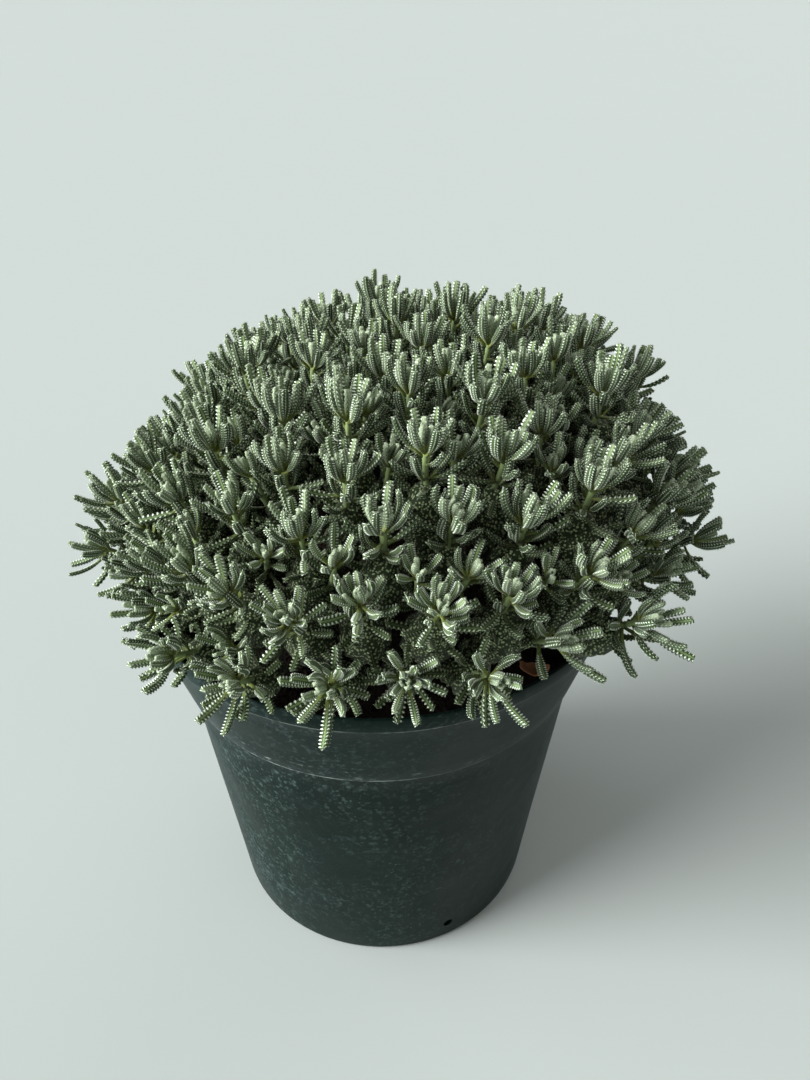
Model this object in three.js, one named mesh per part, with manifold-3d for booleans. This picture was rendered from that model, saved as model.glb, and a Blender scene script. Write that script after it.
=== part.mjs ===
// Potted cotton lavender: a clipped dome of grey, toothed shoots in a round nursery pot.
// Millimetres, Z up. The origin is the centre of the pot's underside.

import * as THREE from 'three';
import { mergeVertices } from 'three/addons/utils/BufferGeometryUtils.js';
import Module from 'manifold-3d';

const wasm = await Module();
wasm.setup();

// The pot
const FOOT_RADIUS = 68.5;
const FOOT_ROUNDING = 2.5;
const SHOULDER_RADIUS = 81.4;
const SHOULDER_Z = 126;
const COLLAR_STEP = 2;
const COLLAR_STEP_RISE = 1;
const LIP_LOW_RADIUS = 92.8;
const LIP_LOW_Z = 160.6;
const LIP_STEP = 0.7;
const RIM_RADIUS = 94.3;
const RIM_Z = 167.4;
const WALL = 1.8;
const BASE_THICKNESS = 2.2;
const BASE_PAD_RADIUS = 24;
const BASE_RING_RADIUS = 52;
const BASE_RECESS = 1.5;
const POT_SIDES = 32;

// The pot's drain holes
const FLOOR_HOLE_COUNT = 4;
const FLOOR_HOLE_RADIUS = 5;
const FLOOR_HOLE_CIRCLE = 38;
const SIDE_HOLE_COUNT = 4;
const SIDE_HOLE_RADIUS = 2.2;
const SIDE_HOLE_Z = 11;
const SIDE_HOLE_FIRST_DEGREES = -64;
const HOLE_SIDES = 6;
const CUTTER_LENGTH = 14;

// The soil
const GAP = 0.3;
const SOIL_TOP_Z = 150;
const SOIL_EDGE_DROP = 3;
const SOIL_LUMP = 1.6;
const SOIL_BROAD_WAVE = 10;
const SOIL_SMALL_WAVE = 4.8;
const SOIL_SMALL_SHARE = 0.3;
const SOIL_SIDES = 24;
const SOIL_RING_SHARES = [0.8, 0.45];

// The woody base
const TRUNK_RADIUS = 8;
const TRUNK_TAPER = 0.8;
const TRUNK_FOOT_Z = 112;
const TRUNK_TOP_Z = 164;
const TRUNK_SIDES = 6;
const BRANCH_COUNT = 11;
const BRANCH_FIRST_DROP = 3;
const BRANCH_LAST_DROP = 11;
const BRANCH_FOOT_RADIUS = 3.6;
const BRANCH_TIP_RADIUS = 2.6;
const BRANCH_SIDES = 3;
const KNUCKLE_RADIUS = 5;
const KNUCKLE_SPREAD = 50;
const KNUCKLE_RISE = 44;
const KNUCKLE_CENTRE_Z = 165;
const KNUCKLE_LOWEST = 0.1;

// The dome that the shoots' hearts stand on
const DOME_RADIUS = 107;
const DOME_RISE = 65;
const DOME_CENTRE_X = 3;
const DOME_CENTRE_Z = 186;
const DOME_TILT = 0.06;
const DOME_LOWEST = 0;

// Where the dome swells out or falls in: the right shoulder, two places on the right side, the left
// shoulder, left side, front and front left. Angles are in degrees, the gain a share of the radius.
const SWELLS = [
  { azimuth: 0, elevation: 46, width: 0.12, gain: 0.05 },
  { azimuth: 4, elevation: 20, width: 0.03, gain: -0.07 },
  { azimuth: -8, elevation: 4, width: 0.03, gain: 0.09 },
  { azimuth: 172, elevation: 32, width: 0.16, gain: -0.14 },
  { azimuth: 185, elevation: 2, width: 0.03, gain: 0.05 },
  { azimuth: -90, elevation: 0, width: 0.22, gain: -0.12 },
  { azimuth: 212, elevation: 0, width: 0.05, gain: -0.07 },
];

// The leafy stems
const STEM_COUNT = 40;
const SHOOTS_PER_STEM = 3;
const FORK_ANGLE = 0.13;
const RELAX_ROUNDS = 160;
const RELAX_REACH = 28;
const RELAX_STEP = 0.22;
const FAMILY_REACH = 21;
const AXIS_SPLAY_DEGREES = 54;
const AXIS_CURVE = 2.3;
const AXIS_WANDER = 0.14;
const HEART_SINK = 5;
const HEART_RISE = 6;
const LEAF_ZONE = 22;
const FORK_DEPTH = 9;
const STEM_FOOT_RADIUS = 1.7;
const STEM_FORK_RADIUS = 1.8;
const STEM_TIP_RADIUS = 1.3;
const STEM_ROOT_RADIUS = 0.6;

// The older leaves below a heart, as a ragged core: how deep it lies and how far it reaches
const CORE_DEPTH = 10;
const CORE_RADIUS = 10.5;
const CORE_CLEARANCE = 0.6;

// The heart of a shoot and its bud
const HEART_RADIUS = 2.2;
const HEART_HEIGHT = 3;
const BUD_TIP = 7;

// The leaves. Angles are degrees away from the shoot's own axis.
const INNER_LEAF = {
  length: 14,
  rootAngle: 34,
  tipAngle: 12,
  stations: [1],
  radii: [1.9],
};
const OUTER_LEAF = {
  length: 17.5,
  rootAngle: 78,
  tipAngle: 34,
  stations: [0.5, 1],
  radii: [1.35, 2.1],
};
const LOW_LEAF = {
  length: 15,
  rootAngle: 92,
  tipAngle: 60,
  stations: [0.5, 1],
  radii: [1.4, 2.1],
};
const LEAF_LENGTH_SPREAD = 0.14;
const LEAF_ANGLE_SPREAD = 12;
const LEAF_TIGHTEN = 0.9;
const LEAF_TIGHTEN_STEPS = 14;
const LEAF_SHORTEST = 0.7;
const LEAF_STEEPEST_ROOT = 42;
const LEAF_CLEARANCE = 0.5;
const LOWEST_TIP_Z = 170;

// The dry leaf that lies inside the rim
const DRY_LEAF_LENGTH = 13;
const DRY_LEAF_WIDTH = 7;
const DRY_LEAF_END_SHARE = 0.25;
const DRY_LEAF_STALK_SHARE = 0.12;
const DRY_LEAF_THICKNESS = 1.1;
const DRY_LEAF_CURL = 2.2;
const DRY_LEAF_STEPS = 7;
const DRY_LEAF_AZIMUTH = -44;
const DRY_LEAF_FROM_AXIS = 80;
const DRY_LEAF_LIFT = 3.5;
const DRY_LEAF_TURN = 0.6;

const TURN = 2 * Math.PI;
const GOLDEN_ANGLE = Math.PI * (3 - Math.sqrt(5));
const THIRD = TURN / 3;
const SIXTH = TURN / 6;
const WELD = 1e-4;
const SEED = 20301;
const UP = new THREE.Vector3(0, 0, 1);

// A direction that no shoot points along, which starts each shoot's first ring
const ASIDE = new THREE.Vector3(0.1, 0.2, 0.05);

const radians = (degrees) => THREE.MathUtils.degToRad(degrees);
const vector = (x, y, z) => new THREE.Vector3(x, y, z);

function directionTo(azimuth, elevation) {
  const flat = Math.cos(elevation);
  return vector(flat * Math.cos(azimuth), flat * Math.sin(azimuth), Math.sin(elevation));
}

// A small seeded generator, so that every build grows the same plant.
class Draws {
  constructor(seed) {
    this.state = seed;
  }

  share() {
    this.state = (this.state * 1664525 + 1013904223) % 4294967296;
    return this.state / 4294967296;
  }

  between(low, high) {
    return low + (high - low) * this.share();
  }
}

// Solids: closed meshes that manifold-3d can join and cut
function solidOf(points, faces) {
  const vertProperties = new Float32Array(points.length * 3);
  points.forEach((point, index) => point.toArray(vertProperties, index * 3));
  const triVerts = new Uint32Array(faces.flat());
  return new wasm.Manifold(new wasm.Mesh({ numProp: 3, vertProperties, triVerts }));
}

function solidFromGeometry(geometry) {
  const bare = geometry.clone();
  bare.deleteAttribute('normal');
  bare.deleteAttribute('uv');
  const merged = mergeVertices(bare, WELD);
  const place = merged.getAttribute('position');
  const points = [];
  for (let index = 0; index < place.count; index += 1) {
    points.push(new THREE.Vector3().fromBufferAttribute(place, index));
  }
  const faces = [];
  const corners = merged.getIndex().array;
  for (let index = 0; index < corners.length; index += 3) {
    const face = [corners[index], corners[index + 1], corners[index + 2]];
    if (new Set(face).size === 3) faces.push(face);
  }
  return solidOf(points, faces);
}

function geometryOf(solid, anchor) {
  const mesh = solid.getMesh();
  const geometry = new THREE.BufferGeometry();
  geometry.setAttribute('position', new THREE.BufferAttribute(mesh.vertProperties, 3));
  geometry.setIndex(new THREE.BufferAttribute(mesh.triVerts, 1));
  geometry.translate(-anchor.x, -anchor.y, -anchor.z);
  geometry.computeVertexNormals();
  return geometry;
}

function part(name, solid, material, anchor = vector(0, 0, 0)) {
  const mesh = new THREE.Mesh(geometryOf(solid, anchor), material.clone());
  mesh.name = name;
  mesh.position.copy(anchor);
  return mesh;
}

function lathe(profile, sides) {
  const points = profile.map(([radius, z]) => new THREE.Vector2(radius, z));
  const geometry = new THREE.LatheGeometry(points, sides);
  geometry.rotateX(Math.PI / 2);
  return geometry;
}

const material = (color, roughness) => new THREE.MeshStandardMaterial({ color, roughness, metalness: 0 });
const POT_PLASTIC = material('#2c3a3b', 0.5);
const SOIL_MIX = material('#2a211a', 1);
const BARK = material('#6b5a48', 0.9);
const FOLIAGE = material('#9aa68f', 0.85);
const DRY_BROWN = material('#7c4a2c', 0.9);

// The pot's outer wall at a height above the shoulder
function collarRadius(z) {
  const share = (z - SHOULDER_Z) / (LIP_LOW_Z - SHOULDER_Z);
  return THREE.MathUtils.lerp(SHOULDER_RADIUS + COLLAR_STEP, LIP_LOW_RADIUS, share);
}

function drainCutter(radius) {
  return new THREE.CylinderGeometry(radius, radius, CUTTER_LENGTH, HOLE_SIDES, 1);
}

function makePot() {
  const profile = [
    [0, 0],
    [BASE_PAD_RADIUS, 0],
    [BASE_PAD_RADIUS + BASE_RECESS, BASE_RECESS],
    [BASE_RING_RADIUS - BASE_RECESS, BASE_RECESS],
    [BASE_RING_RADIUS, 0],
    [FOOT_RADIUS - FOOT_ROUNDING, 0],
    [FOOT_RADIUS, FOOT_ROUNDING],
    [SHOULDER_RADIUS, SHOULDER_Z],
    [SHOULDER_RADIUS + COLLAR_STEP, SHOULDER_Z + COLLAR_STEP_RISE],
    [LIP_LOW_RADIUS, LIP_LOW_Z],
    [LIP_LOW_RADIUS + LIP_STEP, LIP_LOW_Z + LIP_STEP],
    [RIM_RADIUS, RIM_Z],
    [RIM_RADIUS - WALL, RIM_Z],
    [LIP_LOW_RADIUS - WALL, LIP_LOW_Z],
    [SHOULDER_RADIUS + COLLAR_STEP - WALL, SHOULDER_Z + WALL],
    [SHOULDER_RADIUS - WALL, SHOULDER_Z],
    [FOOT_RADIUS - WALL, BASE_RECESS + BASE_THICKNESS],
    [0, BASE_RECESS + BASE_THICKNESS],
  ];
  let pot = solidFromGeometry(lathe(profile, POT_SIDES));
  for (let index = 0; index < FLOOR_HOLE_COUNT; index += 1) {
    const angle = (index / FLOOR_HOLE_COUNT) * TURN;
    const cutter = drainCutter(FLOOR_HOLE_RADIUS);
    cutter.rotateX(Math.PI / 2);
    cutter.translate(FLOOR_HOLE_CIRCLE * Math.cos(angle), FLOOR_HOLE_CIRCLE * Math.sin(angle), 0);
    pot = pot.subtract(solidFromGeometry(cutter));
  }
  for (let index = 0; index < SIDE_HOLE_COUNT; index += 1) {
    const angle = radians(SIDE_HOLE_FIRST_DEGREES) + (index / SIDE_HOLE_COUNT) * TURN;
    const cutter = drainCutter(SIDE_HOLE_RADIUS);
    cutter.translate(0, -FOOT_RADIUS, SIDE_HOLE_Z);
    cutter.rotateZ(angle);
    pot = pot.subtract(solidFromGeometry(cutter));
  }
  return part('pot', pot, POT_PLASTIC);
}

// Low lumps in the soil's top, from two sets of waves that don't line up
function soilLump(x, y) {
  const broad = Math.sin(x / SOIL_BROAD_WAVE) * Math.cos(y / SOIL_BROAD_WAVE);
  const small = Math.sin((x - y) / SOIL_SMALL_WAVE);
  return SOIL_LUMP * THREE.MathUtils.lerp(broad, small, SOIL_SMALL_SHARE);
}

function makeSoil() {
  const inside = WALL + GAP + RIM_RADIUS * (1 - Math.cos(Math.PI / POT_SIDES));
  const edgeZ = SOIL_TOP_Z - SOIL_EDGE_DROP;
  const edgeRadius = collarRadius(edgeZ) - inside;
  const profile = [
    [0, BASE_RECESS + BASE_THICKNESS + GAP],
    [FOOT_RADIUS - inside - GAP, BASE_RECESS + BASE_THICKNESS + GAP],
    [SHOULDER_RADIUS - inside - GAP, SHOULDER_Z + GAP],
    [SHOULDER_RADIUS + COLLAR_STEP - inside, SHOULDER_Z + WALL + GAP * 3],
    [edgeRadius, edgeZ],
  ];
  for (const share of SOIL_RING_SHARES) profile.push([edgeRadius * share, SOIL_TOP_Z]);
  profile.push([0, SOIL_TOP_Z]);
  const body = lathe(profile, SOIL_SIDES);
  const place = body.getAttribute('position');
  for (let index = 0; index < place.count; index += 1) {
    const z = place.getZ(index);
    if (z > edgeZ + GAP) place.setZ(index, z + soilLump(place.getX(index), place.getY(index)));
  }
  const socket = new THREE.CylinderGeometry(TRUNK_RADIUS + GAP, TRUNK_RADIUS + GAP, RIM_Z, TRUNK_SIDES, 1);
  socket.rotateX(Math.PI / 2);
  socket.translate(0, 0, TRUNK_FOOT_Z - GAP + RIM_Z / 2);
  return part('soil', solidFromGeometry(body).subtract(solidFromGeometry(socket)), SOIL_MIX);
}

// A tapered stick between two points, a cylinder turned to lie along them
function stick(from, to, footRadius, tipRadius, sides) {
  const along = to.clone().sub(from);
  const geometry = new THREE.CylinderGeometry(tipRadius, footRadius, along.length(), sides, 1);
  geometry.translate(0, along.length() / 2, 0);
  geometry.applyQuaternion(new THREE.Quaternion().setFromUnitVectors(vector(0, 1, 0), along.normalize()));
  geometry.translate(from.x, from.y, from.z);
  return solidFromGeometry(geometry);
}

function knucklePlaces() {
  const places = [];
  for (let index = 0; index < BRANCH_COUNT; index += 1) {
    const height = 1 - ((index + 0.5) / BRANCH_COUNT) * (1 - KNUCKLE_LOWEST);
    const flat = Math.sqrt(1 - height * height);
    const azimuth = index * GOLDEN_ANGLE;
    places.push(vector(
      KNUCKLE_SPREAD * flat * Math.cos(azimuth),
      KNUCKLE_SPREAD * flat * Math.sin(azimuth),
      KNUCKLE_CENTRE_Z + KNUCKLE_RISE * height,
    ));
  }
  return places;
}

function makeWoodyBase(knuckles) {
  const foot = vector(0, 0, TRUNK_FOOT_Z);
  const top = vector(0, 0, TRUNK_TOP_Z);
  let wood = stick(foot, top, TRUNK_RADIUS, TRUNK_RADIUS * TRUNK_TAPER, TRUNK_SIDES);
  knuckles.forEach((knuckle, index) => {
    const drop = THREE.MathUtils.lerp(BRANCH_FIRST_DROP, BRANCH_LAST_DROP, index / BRANCH_COUNT);
    const root = vector(0, 0, TRUNK_TOP_Z - drop);
    wood = wood.add(stick(root, knuckle, BRANCH_FOOT_RADIUS, BRANCH_TIP_RADIUS, BRANCH_SIDES));
    const knob = new THREE.IcosahedronGeometry(KNUCKLE_RADIUS, 0);
    knob.translate(knuckle.x, knuckle.y, knuckle.z);
    wood = wood.add(solidFromGeometry(knob));
  });
  return part('woody_base', wood, BARK);
}

// Where a direction from the dome's centre meets the dome
function domePoint(direction) {
  let swell = 1;
  for (const { azimuth, elevation, width, gain } of SWELLS) {
    const towards = directionTo(radians(azimuth), radians(elevation));
    swell += gain * Math.exp((direction.dot(towards) - 1) / width);
  }
  const x = DOME_CENTRE_X + DOME_RADIUS * swell * direction.x;
  const rise = DOME_RISE * swell * direction.z + DOME_TILT * x;
  return vector(x, DOME_RADIUS * swell * direction.y, DOME_CENTRE_Z + rise);
}

function domeDirection(point) {
  const direction = vector(
    (point.x - DOME_CENTRE_X) / DOME_RADIUS,
    point.y / DOME_RADIUS,
    (point.z - DOME_CENTRE_Z - DOME_TILT * point.x) / DOME_RISE,
  ).normalize();
  if (direction.z < DOME_LOWEST) {
    direction.z = DOME_LOWEST;
    direction.normalize();
  }
  return direction;
}

function middleOf(points) {
  const sum = vector(0, 0, 0);
  points.forEach((point) => sum.add(point));
  return sum.divideScalar(points.length);
}

// The items that belong to one stem, out of a list for all shoots
function familyOf(items, stem) {
  return items.slice(stem * SHOOTS_PER_STEM, (stem + 1) * SHOOTS_PER_STEM);
}

// Three shoots to a stem, started on a golden spiral and then eased apart until they are even
function shootDirections(draws) {
  const directions = [];
  for (let stem = 0; stem < STEM_COUNT; stem += 1) {
    const height = 1 - ((stem + 0.5) / STEM_COUNT) * (1 - DOME_LOWEST);
    const middle = directionTo(stem * GOLDEN_ANGLE, Math.asin(height));
    const first = middle.clone().cross(directionTo(draws.between(0, TURN), 0)).normalize();
    for (let shoot = 0; shoot < SHOOTS_PER_STEM; shoot += 1) {
      const side = first.clone().applyAxisAngle(middle, (shoot / SHOOTS_PER_STEM) * TURN);
      directions.push(middle.clone().applyAxisAngle(side, FORK_ANGLE));
    }
  }
  for (let round = 0; round < RELAX_ROUNDS; round += 1) {
    const places = directions.map(domePoint);
    places.forEach((place, index) => {
      const push = vector(0, 0, 0);
      places.forEach((other, otherIndex) => {
        const apart = place.clone().sub(other);
        const distance = apart.length();
        if (index === otherIndex || distance > RELAX_REACH) return;
        push.addScaledVector(apart, (RELAX_REACH - distance) / distance);
      });
      const family = middleOf(familyOf(places, Math.floor(index / SHOOTS_PER_STEM)));
      const strain = place.distanceTo(family) - FAMILY_REACH;
      if (strain > 0) push.addScaledVector(family.sub(place), strain / FAMILY_REACH);
      directions[index] = domeDirection(place.clone().addScaledVector(push, RELAX_STEP));
    });
  }
  return directions;
}

// A shoot: its heart, and the axis that points out of the dome and lifts towards the light
function makeShoot(direction, draws) {
  const place = domePoint(direction);
  const centre = vector(DOME_CENTRE_X, 0, DOME_CENTRE_Z);
  const outward = place.clone().sub(centre).normalize();
  const slope = Math.acos(direction.z) / (TURN / 4);
  const splay = radians(AXIS_SPLAY_DEGREES) * slope ** AXIS_CURVE;
  const polar = splay + draws.between(-AXIS_WANDER, AXIS_WANDER);
  const azimuth = Math.atan2(direction.y, direction.x) + draws.between(-AXIS_WANDER, AXIS_WANDER);
  const axis = directionTo(azimuth, Math.PI / 2 - polar);
  const heart = place.addScaledVector(outward, draws.between(-HEART_SINK, HEART_RISE));
  return { heart, axis, below: heart.clone().addScaledVector(axis, -LEAF_ZONE) };
}

function distanceToAxis(point, shoot) {
  const offset = point.clone().sub(shoot.heart);
  const along = Math.max(offset.dot(shoot.axis), -LEAF_ZONE);
  return offset.addScaledVector(shoot.axis, -along).length();
}

// True where a ball of leaf stands clear of the pot's lip, inside it or outside it
function clearOfPot(point, radius) {
  if (point.z - radius < LOWEST_TIP_Z) return false;
  if (point.z - radius > RIM_Z + LEAF_CLEARANCE) return true;
  const fromAxis = Math.hypot(point.x, point.y);
  if (fromAxis - radius > RIM_RADIUS + LEAF_CLEARANCE) return true;
  return fromAxis + radius < LIP_LOW_RADIUS - WALL - LEAF_CLEARANCE;
}

// A leaf keeps to the space that is nearer to its own shoot than to any other
function leafIsClear(centres, radii, shoot, others) {
  return centres.every((centre, index) => {
    if (!clearOfPot(centre, radii[index])) return false;
    const own = distanceToAxis(centre, shoot);
    const room = 2 * radii[index] + LEAF_CLEARANCE;
    return others.every((other) => distanceToAxis(centre, other) - own > room);
  });
}

// Ring centres and headings along a leaf that leaves the axis at one angle and ends at another
function leafPath(root, shoot, away, kind, length, rootAngle, tipAngle) {
  const centres = [];
  const headings = [];
  const place = root.clone();
  let before = 0;
  for (const station of kind.stations) {
    const angle = THREE.MathUtils.lerp(rootAngle, tipAngle, (before + station) / 2);
    const heading = shoot.axis.clone().multiplyScalar(Math.cos(angle));
    heading.addScaledVector(away, Math.sin(angle));
    place.addScaledVector(heading, (station - before) * length);
    centres.push(place.clone());
    headings.push(heading);
    before = station;
  }
  return { centres, headings };
}

// The widest spread, and then the greatest length, at which the leaf has room
function fitLeaf(root, shoot, away, kind, others, draws) {
  const length = kind.length * (1 + draws.between(-LEAF_LENGTH_SPREAD, LEAF_LENGTH_SPREAD));
  const turn = radians(draws.between(-LEAF_ANGLE_SPREAD, LEAF_ANGLE_SPREAD));
  let rootAngle = radians(kind.rootAngle) + turn;
  let tipAngle = radians(kind.tipAngle) + turn;
  let share = 1;
  let path = null;
  for (let step = 0; step < LEAF_TIGHTEN_STEPS; step += 1) {
    path = leafPath(root, shoot, away, kind, length * share, rootAngle, tipAngle);
    if (leafIsClear(path.centres, kind.radii, shoot, others)) break;
    rootAngle = Math.max(rootAngle * LEAF_TIGHTEN, radians(LEAF_STEEPEST_ROOT));
    tipAngle *= LEAF_TIGHTEN * LEAF_TIGHTEN;
    share = Math.max(share * (1 + LEAF_TIGHTEN) / 2, LEAF_SHORTEST);
  }
  return path;
}

// A mesh grown ring by ring: each ring is a triangle turned a sixth from the one before, so that
// the corners stand out as staggered teeth.
class GrownMesh {
  constructor() {
    this.points = [];
    this.faces = [];
  }

  ring(centre, heading, radius, reference, turn) {
    const across = reference.clone().addScaledVector(heading, -reference.dot(heading)).normalize();
    const beside = heading.clone().cross(across);
    return [0, 1, 2].map((corner) => {
      const angle = turn + corner * THIRD;
      const point = centre.clone().addScaledVector(across, radius * Math.cos(angle));
      this.points.push(point.addScaledVector(beside, radius * Math.sin(angle)));
      return this.points.length - 1;
    });
  }

  // The six side faces between two rings, the second turned a sixth on from the first
  sides(lower, upper) {
    return [0, 1, 2].flatMap((corner) => {
      const next = (corner + 1) % 3;
      return [
        [lower[corner], lower[next], upper[corner]],
        [lower[next], upper[next], upper[corner]],
      ];
    });
  }

  // Pushes a face out into a toothed leaf
  growLeaf(face, path, radii) {
    const root = middleOf(face.map((corner) => this.points[corner]));
    const reference = this.points[face[0]].clone().sub(root);
    let below = face;
    path.centres.forEach((centre, index) => {
      const turn = SIXTH * (index + 1);
      const ring = this.ring(centre, path.headings[index], radii[index], reference, turn);
      this.faces.push(...this.sides(below, ring));
      below = ring;
    });
    this.faces.push(below);
  }

  // A stem through the given places, closed at its foot; its rings are handed back
  growStem(places, radii, reference) {
    const rings = [];
    places.forEach((place, index) => {
      const ahead = places[Math.min(index + 1, places.length - 1)];
      const behind = places[Math.max(index - 1, 0)];
      const heading = ahead.clone().sub(behind).normalize();
      const ring = this.ring(place, heading, radii[index], reference, SIXTH * index);
      if (index === 0) this.faces.push([ring[0], ring[2], ring[1]]);
      else this.faces.push(...this.sides(rings[index - 1], ring));
      rings.push(ring);
    });
    return rings;
  }

  // The faces between two rings, of which every other one pushes out into a leaf, or all do
  growWhorl(lower, upper, kinds, shoot, others, draws) {
    this.sides(lower, upper).forEach((face, index) => {
      const kind = kinds[index % 2];
      if (kind === null) {
        this.faces.push(face);
        return;
      }
      const root = middleOf(face.map((corner) => this.points[corner]));
      const away = root.clone().sub(shoot.heart);
      away.addScaledVector(shoot.axis, -away.dot(shoot.axis)).normalize();
      this.growLeaf(face, fitLeaf(root, shoot, away, kind, others, draws), kind.radii);
    });
  }

  // Closes a ring with a pointed bud
  growBud(ring, shoot) {
    const reach = HEART_HEIGHT + BUD_TIP;
    this.points.push(shoot.heart.clone().addScaledVector(shoot.axis, reach));
    const tip = this.points.length - 1;
    [0, 1, 2].forEach((corner) => this.faces.push([ring[corner], ring[(corner + 1) % 3], tip]));
  }
}

// The core's corners reach out as far as the neighbours leave room
function shapeCore(mesh, ring, centre, shoot, others) {
  for (const corner of ring) {
    const point = mesh.points[corner];
    for (let step = 0; step < LEAF_TIGHTEN_STEPS; step += 1) {
      const aboveRim = point.z > RIM_Z + CORE_CLEARANCE;
      if (aboveRim && leafIsClear([point], [CORE_CLEARANCE], shoot, others)) break;
      point.lerp(centre, 1 - LEAF_TIGHTEN);
    }
  }
}

// A shoot on its stem: a ragged core, a low whorl of leaves, the heart's own leaves and a bud
function growShoot(shoot, stemPlaces, stemRadii, others, draws) {
  const mesh = new GrownMesh();
  const reference = shoot.axis.clone().cross(UP).add(ASIDE).normalize();
  const turn = SIXTH * stemPlaces.length;
  const along = (distance) => shoot.heart.clone().addScaledVector(shoot.axis, distance);
  const rings = mesh.growStem(stemPlaces, stemRadii, reference);
  const core = mesh.ring(along(-CORE_DEPTH), shoot.axis, CORE_RADIUS, reference, turn);
  const heart = mesh.ring(shoot.heart, shoot.axis, HEART_RADIUS, reference, turn + SIXTH);
  const top = mesh.ring(along(HEART_HEIGHT), shoot.axis, HEART_RADIUS, reference, turn + THIRD);
  shapeCore(mesh, core, along(-CORE_DEPTH), shoot, others);
  mesh.faces.push(...mesh.sides(rings[rings.length - 1], core));
  mesh.growWhorl(core, heart, [LOW_LEAF, null], shoot, others, draws);
  mesh.growWhorl(heart, top, [OUTER_LEAF, INNER_LEAF], shoot, others, draws);
  mesh.growBud(top, shoot);
  return solidOf(mesh.points, mesh.faces);
}

function nearest(places, point) {
  return places.reduce((best, place) => (place.distanceTo(point) < best.distanceTo(point) ? place : best));
}

// A forked stem from its knuckle: one shoot carries on and the others grow out of its side
function makeLeafyStem(index, shoots, knuckles, draws) {
  const [first, ...later] = familyOf(shoots, index);
  const fork = middleOf([first, ...later].map((shoot) => shoot.below));
  const knuckle = nearest(knuckles, fork);
  const inward = knuckle.clone().sub(fork).normalize();
  fork.addScaledVector(inward, FORK_DEPTH);
  const foot = knuckle.clone().addScaledVector(inward, -(KNUCKLE_RADIUS + GAP));
  const others = (own) => shoots.filter((shoot) => shoot !== own);
  let stem = growShoot(first, [foot, fork], [STEM_FOOT_RADIUS, STEM_FORK_RADIUS], others(first), draws);
  for (const shoot of later) {
    const sideways = shoot.below.clone().sub(fork).normalize();
    const outside = fork.clone().addScaledVector(sideways, STEM_FORK_RADIUS * 2);
    const radii = [STEM_ROOT_RADIUS, STEM_TIP_RADIUS];
    stem = stem.add(growShoot(shoot, [fork, outside], radii, others(shoot), draws));
  }
  const name = `leafy_stem_${String(index + 1).padStart(2, '0')}`;
  return part(name, stem, FOLIAGE, foot);
}

function makeLeafyStems(knuckles) {
  const draws = new Draws(SEED);
  const shoots = shootDirections(draws).map((direction) => makeShoot(direction, draws));
  const stems = [];
  for (let index = 0; index < STEM_COUNT; index += 1) {
    stems.push(makeLeafyStem(index, shoots, knuckles, draws));
  }
  return stems;
}

// A curled, dry leaf: a bent strip that narrows to both ends
function makeDryLeaf() {
  const points = [];
  const faces = [];
  const radius = DRY_LEAF_LENGTH / DRY_LEAF_CURL;
  for (let step = 0; step <= DRY_LEAF_STEPS; step += 1) {
    const share = step / DRY_LEAF_STEPS;
    const angle = (share - 0.5) * DRY_LEAF_CURL;
    const bulge = Math.sin(Math.PI * Math.min(share + DRY_LEAF_STALK_SHARE, 1));
    const half = (DRY_LEAF_WIDTH / 2) * THREE.MathUtils.lerp(DRY_LEAF_END_SHARE, 1, bulge);
    for (const [side, face] of [[-1, 0], [1, 0], [1, 1], [-1, 1]]) {
      const reach = radius - face * DRY_LEAF_THICKNESS;
      points.push(vector(reach * Math.sin(angle), side * half, radius - reach * Math.cos(angle)));
    }
  }
  const count = DRY_LEAF_STEPS * 4;
  faces.push([0, 2, 1], [0, 3, 2], [count, count + 1, count + 2], [count, count + 2, count + 3]);
  for (let step = 0; step < DRY_LEAF_STEPS; step += 1) {
    for (let corner = 0; corner < 4; corner += 1) {
      const low = step * 4 + corner;
      const next = step * 4 + ((corner + 1) % 4);
      faces.push([low, next, low + 4], [next, next + 4, low + 4]);
    }
  }
  const azimuth = radians(DRY_LEAF_AZIMUTH);
  const middle = vector(DRY_LEAF_FROM_AXIS * Math.cos(azimuth), DRY_LEAF_FROM_AXIS * Math.sin(azimuth), 0);
  middle.z = SOIL_TOP_Z + soilLump(middle.x, middle.y) + DRY_LEAF_LIFT;
  const turned = points.map((point) => point.applyAxisAngle(UP, azimuth + DRY_LEAF_TURN).add(middle));
  return part('dry_leaf', solidOf(turned, faces), DRY_BROWN, middle);
}

const knuckles = knucklePlaces();
const plant = new THREE.Group();
plant.add(makePot(), makeSoil(), makeWoodyBase(knuckles), ...makeLeafyStems(knuckles), makeDryLeaf());

export default plant;
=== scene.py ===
"""A potted cotton lavender: a clipped dome of woolly, toothed shoots in a dark nursery pot.

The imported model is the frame. Every piece here stands for its own solid, is finer than it and keeps
its form. Lengths are in millimetres until a mesh is written, and in metres from there on.
"""

import logging
import math
from dataclasses import dataclass, field
from enum import Enum

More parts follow.
